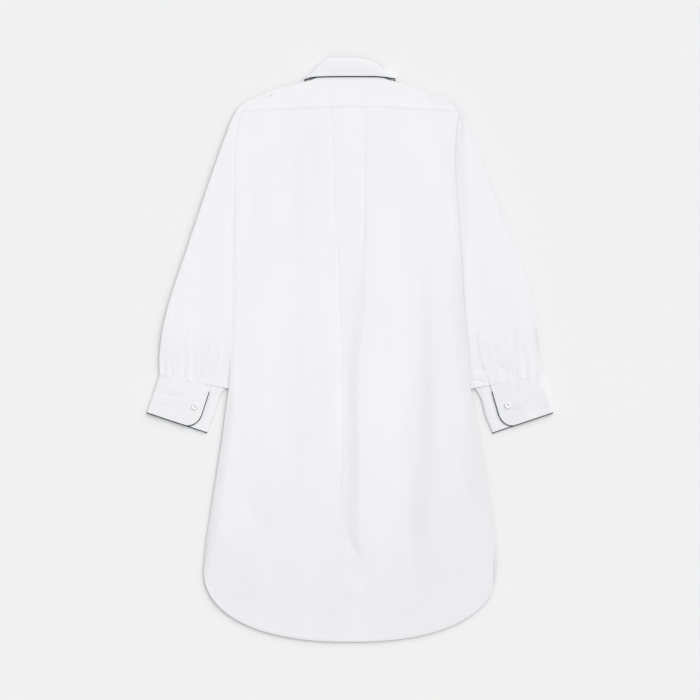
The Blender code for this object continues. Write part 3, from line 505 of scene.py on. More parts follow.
def make_back(material):
    """The back panel: both sides, both folds of its box pleat and the face between them."""
    fractions = np.concatenate([np.linspace(0.0, 0.06, 9)[:-1], np.linspace(0.06, 1.0, 56)])
    steps = np.concatenate([np.linspace(0.0, 0.002, 6)[:-1], np.linspace(0.002, 0.985, 230),
                            np.linspace(0.985, 1.0, 12)[1:]])
    rows = []
    for v in steps:
        y_side = lerp(yoke_seam_y(YOKE_HALF) - GAP, HEM_TURN_Y, v)
        y_mid = lerp(YOKE_SEAM_Y - GAP, hem_y(0.0), v)
        left, right = float(body_edge("left", y_side)), float(body_edge("right", y_side))
        p = {name: float(read(PLEAT, "y", name, y_mid)) for name in Pleat._fields[1:]}
        b = {name: max(float(read(SLOPES, "y", name, y_mid)), 0.0) for name in Slope._fields[1:]}
        closed, under = min(max(p["closed"], 0.0), 1.0), max(p["under"], 0.0)
        base = BACK_LEVEL
        in_left, in_right = p["left"] + under, p["right"] - under
        start = 1.0 + 7.0 * (1.0 - closed)
        steps_out = 0.25 * np.arange(1, len(BESIDE) + 1)
        near_left = np.minimum(p["left"] - BESIDE, in_left - start - steps_out)
        near_right = np.maximum(p["right"] + BESIDE, in_right + start + steps_out)
        xs_left = np.concatenate([lerp(left, near_left[-1], fractions), near_left[-2:0:-1],
                                  np.linspace(near_left[0], in_left - start, 9)])
        xs_right = np.concatenate([np.linspace(in_right + start, near_right[0], 9), near_right[1:-1],
                                   lerp(right, near_right[-1], fractions)[::-1]])
        fold_left = s_fold(p["left"], in_left, closed, base, 1.0)
        fold_right = s_fold(p["right"], in_right, closed, base, -1.0)[::-1]
        face = lerp(fold_left[-1, 0], fold_right[0, 0], FACE_AT)
        top = base + 2 * PLEAT_STEP * closed
        x = np.concatenate([xs_left, fold_left[:, 0], face, fold_right[:, 0], xs_right])
        wide = max(right, -left)
        y = lerp(yoke_seam_y(x) - GAP, hem_y(x * HEM_HALF / wide), v)
        flat = back_z(x, y, left, right)
        z = flat.copy()
        n, f = len(xs_left), len(fold_left)
        drop = flat - base
        t = np.clip((x - b["end"] + b["wide"]) / b["wide"], 0.0, 1.0)
        slope = b["high"] * lerp(t * t, ease(t), b["even"]) * (1.0 - ease((x - b["end"] - 8.0) / 95.0))
        bank = slope - b["dip"] * np.exp(-((x - p["left"]) / b["dip_half"]) ** 2)
        on_face = slice(n + f, n + f + len(face))
        on_right = slice(n + f + len(face), n + 2 * f + len(face))
        z[n:n + f] = fold_left[:, 1] + drop[n:n + f]
        z[on_face] = top + drop[on_face]
        z[on_right] = fold_right[:, 1] + drop[on_right]
        z += bank - 0.4 * ease((y - yoke_seam_y(x) + 1.5) / 0.9)
        beside = np.maximum(p["left"] - x[:n], 0.0), np.maximum(x[-n:] - p["right"], 0.0)
        panels = ((slice(0, n), beside[0], 6.0, 0.7), (slice(-n, None), beside[1], 2.0, 1.0))
        for part, off, near, first in panels:
            share = np.where(off > 0.3, lerp(first, 1.0, ease(off / near)), 0.0)
            z[part] += 2 * PLEAT_STEP * closed * share * (1.0 - ease((off - 14.0) / 70.0))
        rows.append(np.stack([x, y, z], -1))
    return add_grid("back", rows, material, nodes=("back_panel",))


def make_front(side, material):
    sign = sign_of(side)
    tops = np.concatenate([np.linspace(196.6, 188.0, 4)[:-1], np.linspace(188.0, BAND_HALF + GAP, 40)])
    steps = np.concatenate([np.linspace(0.0, 0.985, 130), np.linspace(0.985, 1.0, 6)[1:]])
    rows = []
    for v in steps:
        y_side = lerp(float(top_y(sign * tops[0], FRONT_NECK)) - FRONT_INSET, HEM_TURN_Y, v)
        edge = abs(float(body_edge(side, y_side))) - FRONT_INSET
        x = sign * lerp(edge, tops[-1], (tops[0] - tops) / (tops[0] - tops[-1]))
        y = lerp(top_y(sign * tops, FRONT_NECK) - FRONT_INSET, hem_y(x * HEM_HALF / edge) + 1.0, v)
        side_low = np.minimum(read(ROLLS, "y", f"{side}_z", y), BACK_LEVEL) - 0.9
        side_low = side_low - 2.6 * ease((y + 100.0) / 60.0)
        shoulder = (SHOULDER_LEVEL - 0.9) * ease((np.abs(x) - 66.0) / 14.0)
        top = top_y(x, FRONT_NECK)
        z = FRONT_LEVEL + front_lift(x, y)
        inside = ease((edge - np.abs(x)) / 20.0)
        z = z - creases(FRONT_CREASES, x, y) * inside * ease((np.abs(x) - 17.0) / 30.0)
        z = np.maximum(z, lerp(side_low, FRONT_LEVEL, ease((edge - np.abs(x)) / 16.0)))
        z = np.maximum(z, lerp(FRONT_HEM_LEVEL, FRONT_LEVEL, ease((y - hem_y(x)) / 22.0)))
        z = np.maximum(z, lerp(shoulder, FRONT_LEVEL, ease((top - y) / 18.0)))
        rows.append(facing_up(side, np.stack([x, y, z], -1)))
    return add_grid(f"front_{side}_cloth", rows, material, nodes=(f"front_{side}",))


def make_band(name, level, material, nodes):
    """A stitched band down the front, its two edges turned under."""
    top = float(read(FRONT_NECK, "x", "y", BAND_HALF)) - 2.0
    across = np.concatenate([[-BAND_HALF, -BAND_HALF + 0.4],
                             np.linspace(-BAND_HALF + 1.5, BAND_HALF - 1.5, 9),
                             [BAND_HALF - 0.4, BAND_HALF]])
    lift = np.array([-0.15] + [0.0] * (len(across) - 2) + [-0.15])
    rows = []
    for v in np.linspace(0.0, 1.0, 150):
        y = lerp(top, float(hem_y(0.0)) + 1.2, v)
        z = level + lift + 0.06 * math.sin(0.12 * y) * np.cos(across / 9.0)
        rows.append(np.stack([across, np.full_like(across, y), z], -1))
    return add_grid(name, rows, material, wall=BAND_WALL, nodes=nodes)


def make_yoke(material):
    """The yoke, with the doubled band that is stitched along its seam."""
    half = np.concatenate([np.linspace(0.0, NECK_HALF, 26)[:-1], np.linspace(NECK_HALF, 194.0, 48)])
    columns = np.concatenate([-half[:0:-1], half])
    steps = np.concatenate([np.linspace(0.0, 0.86, 22), np.linspace(0.86, 1.0, 12)[1:]])
    feet = {side: abs(float(body_edge(side, 440.0))) - 0.2 for side in ("left", "right")}
    rows = []
    for v in steps:
        foot = np.where(columns < 0, feet["left"], feet["right"])
        x = lerp(columns, columns * foot / half[-1], v)
        top = top_y(columns, BACK_NECK)
        y = lerp(top, yoke_seam_y(x) - 1.2, v)
        floor = 1.5 + collar_lift(x, y)
        reach = lerp(12.0, 42.0, ease((104.0 - np.abs(x)) / 30.0))
        rise = crown(top - y, reach) * crown(half[-1] + 2.0 - np.abs(x), 12.0)
        over = ease((128.0 - np.abs(x)) / 62.0) * ease(v) * 2 * PLEAT_STEP
        seam = yoke_seam_y(x) - 1.2
        band = 0.38 * ease((seam + 9.0 - y) / 2.0) * ease((y - seam + 0.6) / 5.0)
        lap = 0.05 * ease((seam + 9.0 - y) / 8.0)
        z = lerp(np.maximum(floor, SHOULDER_LEVEL), BACK_LEVEL, rise) + over + band + lap
        z = z - ripple(x, y, 1.0) * rise
        rows.append(np.stack([x, y, z], -1))
    return add_grid("yoke_cloth", rows, material, wall=WALL, nodes=("yoke",))


# Sleeves
def sleeve_line(side, row):
    """Outer and inner ends of the line across the sleeve at a row, which may lie between two rows."""
    table = SLEEVES[side]
    keys = np.arange(len(table))
    out_x, out_y, in_x, in_y = (hermite(keys, [getattr(line, name) for line in table], row)
                                for name in Across._fields)
    sign = sign_of(side)
    outer, inner = np.array((sign * out_x, out_y)), np.array((sign * in_x, in_y))
    return outer, inner + (inner - outer) / np.hypot(*(inner - outer)) * TUCK


def placket_edge(name, row):
    return hermite(np.arange(len(PLACKET)), [getattr(f, name) for f in PLACKET], row)


def sleeve_top(side, row, part):
    """Plan and height of the sleeve's upper cloth, with its gathers and creases."""
    outer, inner = sleeve_line(side, row)
    width = float(np.hypot(*(outer - inner)))
    part = np.asarray(part, float)
    x, y = lerp(outer[0], inner[0], part), lerp(outer[1], inner[1], part)
    above = outer[1] - SLEEVES[side][-1].out_y + CUFF_TUCK * ease((row - len(SLEEVES[side]) + 1.1) * 10.0)
    peak = lerp(SLEEVE_SEAM_LEVEL, SLEEVE_LEVEL, ease(above / 90.0)) - 0.2 * (1.0 - ease(width / 26.0))
    edge_z = float(read(INNER_EDGES, "y", f"{side}_z", inner[1])) - 0.5 * (SLEEVE_LEVEL - peak)
    reach = min(float(read(INNER_EDGES, "y", f"{side}_reach", inner[1])), width * 0.6)
    outer_rise = crown(part * width, min(6.0, width / 2))
    inner_rise = ease((1.0 - part) * width / reach) * 0.5 + 0.5 * crown((1.0 - part) * width, reach)
    start = OUTER_EDGE_LEVELS[side] + peak - SLEEVE_LEVEL
    crest = max(peak, edge_z + 0.2)
    z = lerp(start, peak, outer_rise) + lerp(edge_z, crest, inner_rise) - crest
    sink = creases(SLEEVE_CREASES[side], x, y) + ripple(x, y, 0.8)
    since = row - len(SLEEVES[side]) + len(PLACKET)
    slit = float(placket_edge("inner", since))
    past = (part - slit) * width
    opened = SLIT_DROPS[side] * ease(past / 1.5) * (1.0 - ease((past - 1.5) / 27.0))
    sink = sink + opened * ease((since - 0.1) / 0.5)
    for gather in GATHERS[side]:
        wander = 1.6 * math.sin(above / 17.0 + 9.0 * gather.at)
        strength = np.exp(-(((part - gather.at) * width + wander * above / 60.0) / gather.half) ** 2)
        sink = sink + gather.depth * strength * ease(1.0 - above / gather.rise)
    inside = ease(np.minimum(part, 1.0 - part) * width / 7.0)
    pucker = 0.3 * np.sin(part * width * 1.1 + 1.3 * np.sin(part * 19.0)) * ease(1.0 - abs(above - 3.0) / 9.0)
    z = z - (sink + pucker) * inside
    tucked = lerp(2 * CUFF_LAYER - 0.55, CUFF_LAYER - 0.3, ease((part * width - 86.0) / 14.0))
    return x, y, lerp(z, np.minimum(z, tucked), ease((CUFF_TUCK_RISE - above) / CUFF_TUCK_RISE))


def make_sleeve(side, material):
    """A sleeve folded flat about its outer edge, its two ends meeting along the inner seam."""
    last = len(SLEEVES[side]) - 1
    rows = []
    for row in np.concatenate([np.linspace(0.0, 11.0, 64)[:-1], np.linspace(11.0, last - 1, 90)[:-1],
                               np.linspace(last - 1, last, 36)]):
        outer, inner = sleeve_line(side, row)
        width = float(np.hypot(*(outer - inner)))
        turn = min(0.5 / width, 0.1)
        parts = np.concatenate([1.0 - np.linspace(0.0, 0.12, 8)[:-1], np.linspace(0.88, 0.08, 60),
                                np.linspace(0.08, turn, 9)[1:]])
        x, y, z = sleeve_top(side, row, parts)
        angles = np.radians((50, 20, -10, -40, -70))
        half_bend = 0.5
        bend_z = z[-1] - half_bend
        bend = turn * (1.0 - np.cos(angles))
        lower = np.concatenate([np.linspace(turn, 0.12, 7), np.linspace(0.2, 0.8, 9),
                                np.linspace(0.86, 1.0, 8)])
        turn_z = bend_z + half_bend * np.sin(angles)
        out_part = 1.0 - ease(lower * width / 16.0)
        in_part = 1.0 - ease((1.0 - lower) * width / 16.0)
        low_z = UNDER_LEVEL + (bend_z - half_bend - UNDER_LEVEL) * out_part
        low_z = np.maximum(low_z, UNDER_LEVEL + (z[0] - 2 * half_bend - UNDER_LEVEL) * in_part)
        upper_z = sleeve_top(side, row, lower)[2]
        low_z = np.maximum(low_z, 1.35 * ease(row - last + 1.0))
        low_z = np.minimum(low_z, upper_z - 0.6)
        parts = np.concatenate([bend, lower])
        x = np.concatenate([x, lerp(outer[0], inner[0], parts)])
        y = np.concatenate([y, lerp(outer[1], inner[1], parts)])
        z = np.concatenate([z, turn_z, low_z])
        rows.append(facing_up(side, np.stack([x, y, z], -1)))
    return add_grid(f"sleeve_{side}_cloth", rows, material, nodes=(f"sleeve_{side}",))


def make_placket(side, material):
    """The stitched strip along the slit above the cuff."""
    first = len(SLEEVES[side]) - len(PLACKET)
    rows = []
    for row in np.linspace(0.0, len(PLACKET) - 1, 40):
        outer, inner = placket_edge("outer", row), placket_edge("inner", row)
        part = lerp(outer, inner, np.concatenate([[0.0, 0.03], np.linspace(0.1, 0.9, 9), [0.97, 1.0]]))
        x, y, _ = sleeve_top(side, first + row, part)
        near = [sleeve_top(side, first + row, part + shift)[2] for shift in (-0.02, 0.0, 0.02)]
        under = np.max(near, axis=0)
        z = under + np.linspace(0.24, 0.6 if side == "left" else 0.24, len(part))
        rows.append(facing_up(side, np.stack([x, y, z], -1)))
    return add_grid(f"placket_{side}", rows, material, wall=PLACKET_WALL, nodes=(f"sleeve_placket_{side}",))


# Cuffs
def cuff_depth(side):
    cuff = CUFFS[side]
    return math.hypot(cuff.low_out_x - cuff.top_out_x, cuff.low_out_y - cuff.top_out_y)


def corner_lean(side, v):
    return min(max(v * cuff_depth(side) - (cuff_depth(side) - CORNER_ROUND), 0.0) / CORNER_ROUND, 1.0)


def cuff_line(side, v):
    """Outer and inner ends of the cuff at v, from the gathered seam to the piped edge."""
    cuff = CUFFS[side]
    outer_top = Vector((cuff.top_out_x, cuff.top_out_y))
    outer_low = Vector((cuff.low_out_x, cuff.low_out_y))
    outer = outer_top.lerp(outer_low, v)
    inner = Vector((cuff.top_in_x, cuff.top_in_y)).lerp(Vector((cuff.low_in_x, cuff.low_in_y)), v)
    step = (outer_low - outer_top).normalized() * (GAP + 0.1) * (1.0 - v)
    outer, inner = outer + step, inner + step
    inner.x += 6.0 * math.sin(math.pi * min(v * 1.6, 1.0)) * (1.0 - v)
    sign = sign_of(side)
    return Vector((sign * outer.x, outer.y)), Vector((sign * inner.x, inner.y))


def cuff_way(side, v):
    """Outer and inner ends of the cuff at v, and the way from one to the other."""
    outer, inner = cuff_line(side, v)
    return outer, inner, (inner - outer).normalized()


def overlap_end(side, v):
    return OVERLAP_REACH - CORNER_ROUND * (1.0 - math.sqrt(1.0 - corner_lean(side, v) ** 2))


def turned(s, z, bend, angles, plan=None):
    plan = bend if plan is None else plan
    return [(s + plan * math.cos(math.radians(a)), z + abs(bend) * math.sin(math.radians(a))) for a in angles]


def cuff_puff(s, v):
    """Soft rise of the overlap, and the dents left by the seam above it."""
    dents = 0.35 * math.sin(0.33 * s) * math.exp(-v * 9.0) + 0.2 * math.sin(0.11 * s + 3.0 * v)
    return 0.4 * math.sin(math.pi * min(v * 1.15, 1.0)) + dents


def make_cuff(side, material):
    """A cuff wrapped once round: the overlap on top, the underlap inside it, then the far side."""
    levels = (STIFF / 2, STIFF / 2 + CUFF_LAYER, STIFF / 2 + 2 * CUFF_LAYER)
    arcs = [60 - 120 * k / 6 for k in range(7)]
    height = cuff_depth(side)
    straight = np.linspace(0.0, 1.0 - CORNER_ROUND / height, 24)
    corner = 1.0 - CORNER_ROUND / height * (1.0 - np.sin(np.linspace(0.0, math.pi / 2, 18)))
    rows = []
    for v in np.concatenate([straight[:-1], corner]):
        outer, inner = cuff_line(side, v)
        length = (inner - outer).length
        end = overlap_end(side, v)
        out_turn, in_turn = CUFF_BEND + STIFF / 2, length - CUFF_BEND - STIFF / 2
        section = []
        for s in np.linspace(end, out_turn, 40):
            rim = ease((end - s) / 3.0)
            spot = outer.lerp(inner, s / length)
            crease = creases(CUFF_CREASES[side], spot.x, spot.y)
            puff = cuff_puff(s, v) - crease * ease(v / 0.12) * ease((1.0 - v) / 0.06)
            section.append((s, levels[2] - 0.1 + puff * rim * ease((s - out_turn) / 8.0)))
        section += turned(out_turn, levels[1], -CUFF_LAYER, arcs, -CUFF_BEND)
        section += [(lerp(out_turn, in_turn, k / 12), levels[0]) for k in range(13)]
        section += turned(in_turn, (levels[0] + levels[1]) / 2, CUFF_LAYER / 2, arcs[::-1], CUFF_BEND)
        for k in range(24):
            s = lerp(in_turn, UNDERLAP_REACH, k / 23)
            open_part = ease((s - end - 2.0) / 8.0) * ease((in_turn - s) / 6.0)
            section.append((s, levels[1] + (0.5 + 0.4 * math.sin(0.4 * s) * math.exp(-6.0 * v)) * open_part))
        row = []
        for s, z in section:
            spot = outer.lerp(inner, s / length)
            row.append((spot.x, spot.y, z))
        rows.append(facing_up(side, row))
    return add_grid(f"cuff_{side}_cloth", rows, material, wall=STIFF_WALL, nodes=(f"cuff_{side}",))


def cuff_cord_path(side):
    high = 2 * CUFF_LAYER + STIFF / 2 - 0.1
    low = CORD_RADIUS
    under = CUFF_LAYER + STIFF / 2
    clear = CORD_RADIUS - 0.05
    path = []
    for k in range(49):
        v = lerp(PIPING_START, 1.0, math.sin(math.pi / 2 * k / 48))
        outer, inner, along = cuff_way(side, v)
        down = Vector((along.y, -along.x)) * -sign_of(side)
        lean = corner_lean(side, v)
        reach = overlap_end(side, v) + clear * math.sqrt(1.0 - lean * lean)
        spot = outer + along * reach + down * clear * lean
        path.append((spot.x, spot.y, high))
    outer, inner = cuff_line(side, 1.0)
    length = (inner - outer).length
    out_turn, in_turn = (high - low) / 2, (under - low) / 2

    def spot_at(s, z):
        spot = outer + along * s + down * clear
        return (spot.x, spot.y, z)

    start = overlap_end(side, 1.0)
    path += [spot_at(lerp(start, out_turn, k / 16), high) for k in range(1, 17)]
    bend = (60, 30, 0, -30, -60)
    path += [spot_at(s, z) for s, z in turned(out_turn, low + out_turn, -out_turn, bend)]
    path += [spot_at(lerp(out_turn, length - in_turn, k / 16), low) for k in range(17)]
    path += [spot_at(s, z) for s, z in turned(length - in_turn, low + in_turn, in_turn, bend[::-1])]
    path += [spot_at(lerp(length - in_turn, start - 8.0, k / 10), under) for k in range(11)]
    return path


# Collar
def strip_ends(strip):
    near, far = Vector((strip.near_x, strip.near_y)), Vector((strip.far_x, strip.far_y))
    return near, far, (far - near).normalized()


def square_to(way, towards):
    square = Vector((-way.y, way.x))
    return square if square.dot(towards) > 0 else -square


def finer(strips, steps):
    """Strips in between the given ones, on smooth curves within each run of the same turn."""
    made = []
    start = 0
    while start < len(strips):
        stop = start
        while stop < len(strips) and strips[stop].turn == strips[start].turn:
            stop += 1
        run = strips[start:stop]
        keys = np.arange(len(run))
        at = np.linspace(0, len(run) - 1, (len(run) - 1) * steps + 1)
        columns = [hermite(keys, [getattr(s, name) for s in run], at) for name in Strip._fields[:4]]
        made += [Strip(*values, run[0].turn) for values in zip(*columns)]
        start = stop
    return made


def turn_over(strip):
    """How far out and how high each step of a turn lies, as shares of its radius."""
    for k in range(1, TURN_STEPS):
        angle = math.pi * k / TURN_STEPS
        yield math.sin(angle), -math.cos(angle) if strip.turn else math.cos(angle)


def strip_rows(strips, low, high, shape):
    """Middle surface of a strip that goes round the neck, turning over at its two sides."""
    rows = []
    across = np.linspace(0.0, 1.0, 26)
    radius = (high - low) / 2
    for index, strip in enumerate(strips):
        near, far, away = strip_ends(strip)
        plan = np.array([near.lerp(far, a) for a in across])
        if index and strips[index - 1].turn != strip.turn:
            out = np.array(square_to(away, Vector((near.x, 0.0))))
            for aside, rise in turn_over(strip):
                z = np.full(len(across), low + radius * (1 + rise))
                rows.append(np.column_stack([plan + out * min(radius, TURN_OUT) * aside, z]))
        level = high if strip.turn else low
        rows.append(np.column_stack([plan, level + (shape(strip, across) if strip.turn else 0.0 * across)]))
    return rows


def make_collar(material):
    leaf_low = STIFF / 2 + 0.02
    yoke_top = SHOULDER_LEVEL + 0.4
    leaf_high = yoke_top + GAP + STIFF / 2

    def roll(strip, across):
        middle = max(0.0, 1.0 - (abs(strip.near_x) / 62.0) ** 2)
        swell = 0.7 * np.sin(math.pi * np.clip(across * 1.25, 0, 1)) ** 0.7
        return middle * (swell - 0.8 * (1 - crown(across, 0.10)))

    leaf = strip_rows(finer(LEAF_LEFT + LEAF_RIGHT, 6), leaf_low, leaf_high, roll)
    add_grid("collar_leaf_cloth", leaf, material, wall=STIFF_WALL, nodes=("collar_leaf",))
    stand_low = LEAF_LIFT + 0.5
    stand = strip_rows(finer(STAND_LEFT + STAND_RIGHT, 5), stand_low, stand_low + LAYER, lambda s, a: 0.0 * a)
    add_grid("collar_stand_cloth", stand, material, wall=STAND_WALL, nodes=("collar_stand",))
    return collar_cord_path(yoke_top)


def collar_cord_path(yoke_top):
    """Line of the cord along the leaf's edge and up both front edges."""
    clear = CORD_RADIUS + 0.4
    low, high = CORD_RADIUS, yoke_top + GAP + CORD_RADIUS
    radius = (high - low) / 2
    strips = finer(LEAF_LEFT + LEAF_RIGHT, 4)
    near, far, away = strip_ends(strips[0])
    front = square_to(away, Vector((1.0, 0.0)))
    path = [(*(near.lerp(far, a) + front * clear), low) for a in np.linspace(0.02, 0.96, 9)]
    path.append((*(far + away * clear * 0.9 + front * clear * 0.45), low))
    head = len(path)
    side_clear = clear + 0.1
    for index, strip in enumerate(strips[1:-1], 1):
        near, far, away = strip_ends(strip)
        before, after = strips[index - 1], strips[index + 1]
        run = Vector((after.far_x - before.far_x, after.far_y - before.far_y)).normalized()
        spot = far + square_to(run, away) * clear
        level = high if strip.turn else low
        if before.turn != strip.turn:
            side_out = square_to(away, Vector((near.x, 0.0)))
            spot = far + away * side_clear
            for aside, rise in turn_over(strip):
                shifted = spot + side_out * min(radius, TURN_OUT) * aside
                path.append((shifted.x, shifted.y, low + radius * (1 + rise)))
        elif after.turn != strip.turn:
            spot = far + away * side_clear
        path.append((spot.x, spot.y, level))
    return path + [(-x, y, z) for x, y, z in path[:head]][::-1]


def make_cord(name, path, material, node):
    """A round cord wrapped in bias cloth, with a faint twist in its skin."""
    points = np.array(path, float)
    length = lengths_along(points)
    at = np.linspace(0.0, length[-1], int(length[-1] / 1.1))
    points = np.stack([np.interp(at, length, points[:, k]) for k in range(3)], -1)
    for _ in range(2):
        points[1:-1] = (points[:-2] + 2 * points[1:-1] + points[2:]) / 4
    ways = np.gradient(points, axis=0)
    ways /= np.linalg.norm(ways, axis=1)[:, None]
    up = np.zeros_like(ways)
    frame_up = np.array((0.0, 0.0, 1.0))
    for i, way in enumerate(ways):
        frame_up = frame_up - way * frame_up.dot(way)
        frame_up /= np.linalg.norm(frame_up)
        up[i] = frame_up
    side = np.cross(ways, up)
    ring = np.linspace(0.0, 2 * math.pi, CORD_SIDES, endpoint=False)
    radius = CORD_RADIUS * (1.0 + 0.03 * np.sin(at[:, None] * 1.9 + 2 * ring[None, :]))
    radius[0], radius[-1] = radius[0] * 0.55, radius[-1] * 0.55
    verts = (points[:, None, :] + radius[..., None] * (np.cos(ring)[None, :, None] * side[:, None, :]
                                                       + np.sin(ring)[None, :, None] * up[:, None, :]))
    index = np.arange(len(points) * CORD_SIDES).reshape(len(points), CORD_SIDES)
    after = np.roll(index, -1, axis=1)
    quads = np.stack([index[:-1], after[:-1], after[1:], index[1:]], -1).reshape(-1, 4).tolist()
    quads += [index[0][::-1].tolist(), index[-1].tolist()]
    mesh = bpy.data.meshes.new(name)
    mesh.from_pydata((verts.reshape(-1, 3) * MM).tolist(), [], quads)
    mesh.shade_smooth()
    return settle(new_object(name, mesh, material), (node,))


# Buttons
def button_mesh(name, radius, thick):
    """A turned button with a raised rim and four holes."""
    profile = [(0.0, 0.62), (0.30, 0.62), (0.52, 0.64), (0.60, 0.74), (0.68, 0.93), (0.78, 1.0), (0.88, 0.97),
               (0.96, 0.84), (1.0, 0.62), (0.99, 0.40), (0.93, 0.18), (0.84, 0.06), (0.60, 0.0), (0.0, 0.0)]
    around = np.linspace(0, 2 * math.pi, BUTTON_SIDES, endpoint=False)
    made = bmesh.new()
    rings = []
    for r, h in profile:
        if r == 0.0:
            rings.append([made.verts.new((0.0, 0.0, h * thick * MM))])
        else:
            out = r * radius * MM
            spots = [(out * math.cos(a), out * math.sin(a), h * thick * MM) for a in around]
            rings.append([made.verts.new(spot) for spot in spots])
    for inner, outer in zip(rings, rings[1:]):
        for i in range(BUTTON_SIDES):
            j = (i + 1) % BUTTON_SIDES
            corners = [inner[i % len(inner)], outer[i % len(outer)],
                       outer[j % len(outer)], inner[j % len(inner)]]
            made.faces.new(list(dict.fromkeys(corners)))
    bmesh.ops.recalc_face_normals(made, faces=made.faces)
    mesh = bpy.data.meshes.new(name)
    made.to_mesh(mesh)
    made.free()
    body = bpy.data.objects.new(name, mesh)
    bpy.context.scene.collection.objects.link(body)
    drill = bmesh.new()
    for a in (45, 135, 225, 315):
        spot = Vector((math.cos(math.radians(a)), math.sin(math.radians(a)), 0.0)) * HOLE_OUT * radius * MM
        made = bmesh.ops.create_cone(drill, cap_ends=True, segments=14, depth=4 * thick * MM,
                                     radius1=HOLE_RADIUS * radius * MM,
                                     radius2=HOLE_RADIUS * radius * MM)
        bmesh.ops.translate(drill, verts=made["verts"], vec=spot)
    tool_mesh = bpy.data.meshes.new("drill")
    drill.to_mesh(tool_mesh)
    drill.free()
    tool = bpy.data.objects.new("drill", tool_mesh)
    bpy.context.scene.collection.objects.link(tool)
    cut = body.modifiers.new("holes", "BOOLEAN")
    cut.object, cut.operation, cut.solver = tool, "DIFFERENCE", "EXACT"
    bpy.context.view_layer.update()
    done = bpy.data.meshes.new_from_object(body.evaluated_get(bpy.context.evaluated_depsgraph_get()))
    bpy.data.objects.remove(body)
    bpy.data.objects.remove(tool)
    done.materials.clear()
    done.shade_smooth()
    done.set_sharp_from_angle(angle=math.radians(BUTTON_EDGE_ANGLE))
    return done


def make_buttons(material, thread):
    cuff_top = 2 * CUFF_LAYER + STIFF
    spots = []
    for side in ("left", "right"):
        cuff = CUFFS[side]
        spots.append((f"cuff_button_{side}", sign_of(side) * cuff.bx, cuff.by, cuff_top + 0.35,
                      CUFF_BUTTON_THICK, 1.0))
    for index in range(FRONT_BUTTON_COUNT):
        y = FRONT_BUTTON_TOP_Y - index * FRONT_BUTTON_PITCH
        spots.append((f"front_button_{index + 1}", 0.0, y, FRONT_BUTTON_THICK, FRONT_BUTTON_THICK, -1.0))
    meshes = {thick: button_mesh(f"button_{thick}", BUTTON_RADIUS, thick)
              for thick in (CUFF_BUTTON_THICK, FRONT_BUTTON_THICK)}
    tubes = []
    for node, x, y, z, thick, up in spots:
        obj = bpy.data.objects.new(f"{node}_shell", meshes[thick].copy())
        obj.data.materials.append(material)
        bpy.context.scene.collection.objects.link(obj)
        obj.location = Vector((x, y, z)) * MM
        if up < 0:
            obj.rotation_euler = (math.pi, 0.0, 0.0)
        settle(obj, (node,))
        hole = HOLE_OUT * BUTTON_RADIUS * math.sqrt(0.5)
        for offset in (-hole, hole):
            for lay in (-0.22, 0.22):
                points = [(x - hole * 1.02, y + offset + lay * 0.6, z + up * 0.1 * thick)]
                points += [(x + hole * c, y + offset + lay, z + up * (0.66 * thick + 0.35 * (1 - c * c)))
                           for c in np.linspace(-1.0, 1.0, 7)]
                points += [(x + hole * 1.02, y + offset + lay * 0.6, z + up * 0.1 * thick)]
                tubes.append((points, 0.2))
    make_tubes("button_threads", tubes, thread, 6)


def make_tubes(name, tubes, material, sides):
    """Many short round threads in one mesh."""
    verts, faces = [], []
    ring = np.linspace(0.0, 2 * math.pi, sides, endpoint=False)
    for points, radius in tubes:
        points = np.array(points, float)
        ways = np.gradient(points, axis=0)
        ways /= np.linalg.norm(ways, axis=1)[:, None] + 1e-9
        start = len(verts)
        for k, (point, way) in enumerate(zip(points, ways)):
            side = np.cross(way, (0.0, 0.0, 1.0)) if abs(way[2]) < 0.95 else np.array((0.0, 1.0, 0.0))
            side = side / (np.linalg.norm(side) + 1e-9)
            up = np.cross(side, way)
            size = radius * (0.45 if k in (0, len(points) - 1) else 1.0)
            verts += [tuple(point + size * (math.cos(a) * side + math.sin(a) * up)) for a in ring]
        for k in range(len(points) - 1):
            for i in range(sides):
                j = (i + 1) % sides
                a = start + k * sides
                faces.append((a + i, a + j, a + sides + j, a + sides + i))
        faces.append(tuple(start + i for i in range(sides))[::-1])
        faces.append(tuple(start + (len(points) - 1) * sides + i for i in range(sides)))
    mesh = bpy.data.meshes.new(name)
    mesh.from_pydata((np.array(verts) * MM).tolist(), [], faces)
    mesh.shade_smooth()
    return settle(new_object(name, mesh, material))


# Sewing
def tree_of(obj):
    bpy.context.view_layer.update()
    return BVHTree.FromObject(obj, bpy.context.evaluated_depsgraph_get())


def stitched(tree, line, above=True):
    """Stitches along a line in plan, laid on the top or the underside of a piece."""
    line = np.array(line, float)
    length = lengths_along(line)
    way = -1.0 if above else 1.0

    def on(at):
        x, y = (float(np.interp(at, length, line[:, k])) for k in (0, 1))
        hit = tree.ray_cast(Vector((x, y, -60.0 * way)) * MM, Vector((0.0, 0.0, way)))[0]
        return None if hit is None else (x, y, hit.z / MM)

    made = []
    for start in np.arange(0.0, length[-1] - STITCH_PITCH * STITCH_SHARE, STITCH_PITCH):
        spots = [on(start + STITCH_PITCH * STITCH_SHARE * t) for t in (0.0, 0.25, 0.75, 1.0)]
        if all(spots) and max(s[2] for s in spots) - min(s[2] for s in spots) < STITCH_STEP:
            lift = (-0.05, 0.1, 0.1, -0.05)
            made.append(([(x, y, z - way * up) for (x, y, z), up in zip(spots, lift)], STITCH_RADIUS))
    return made


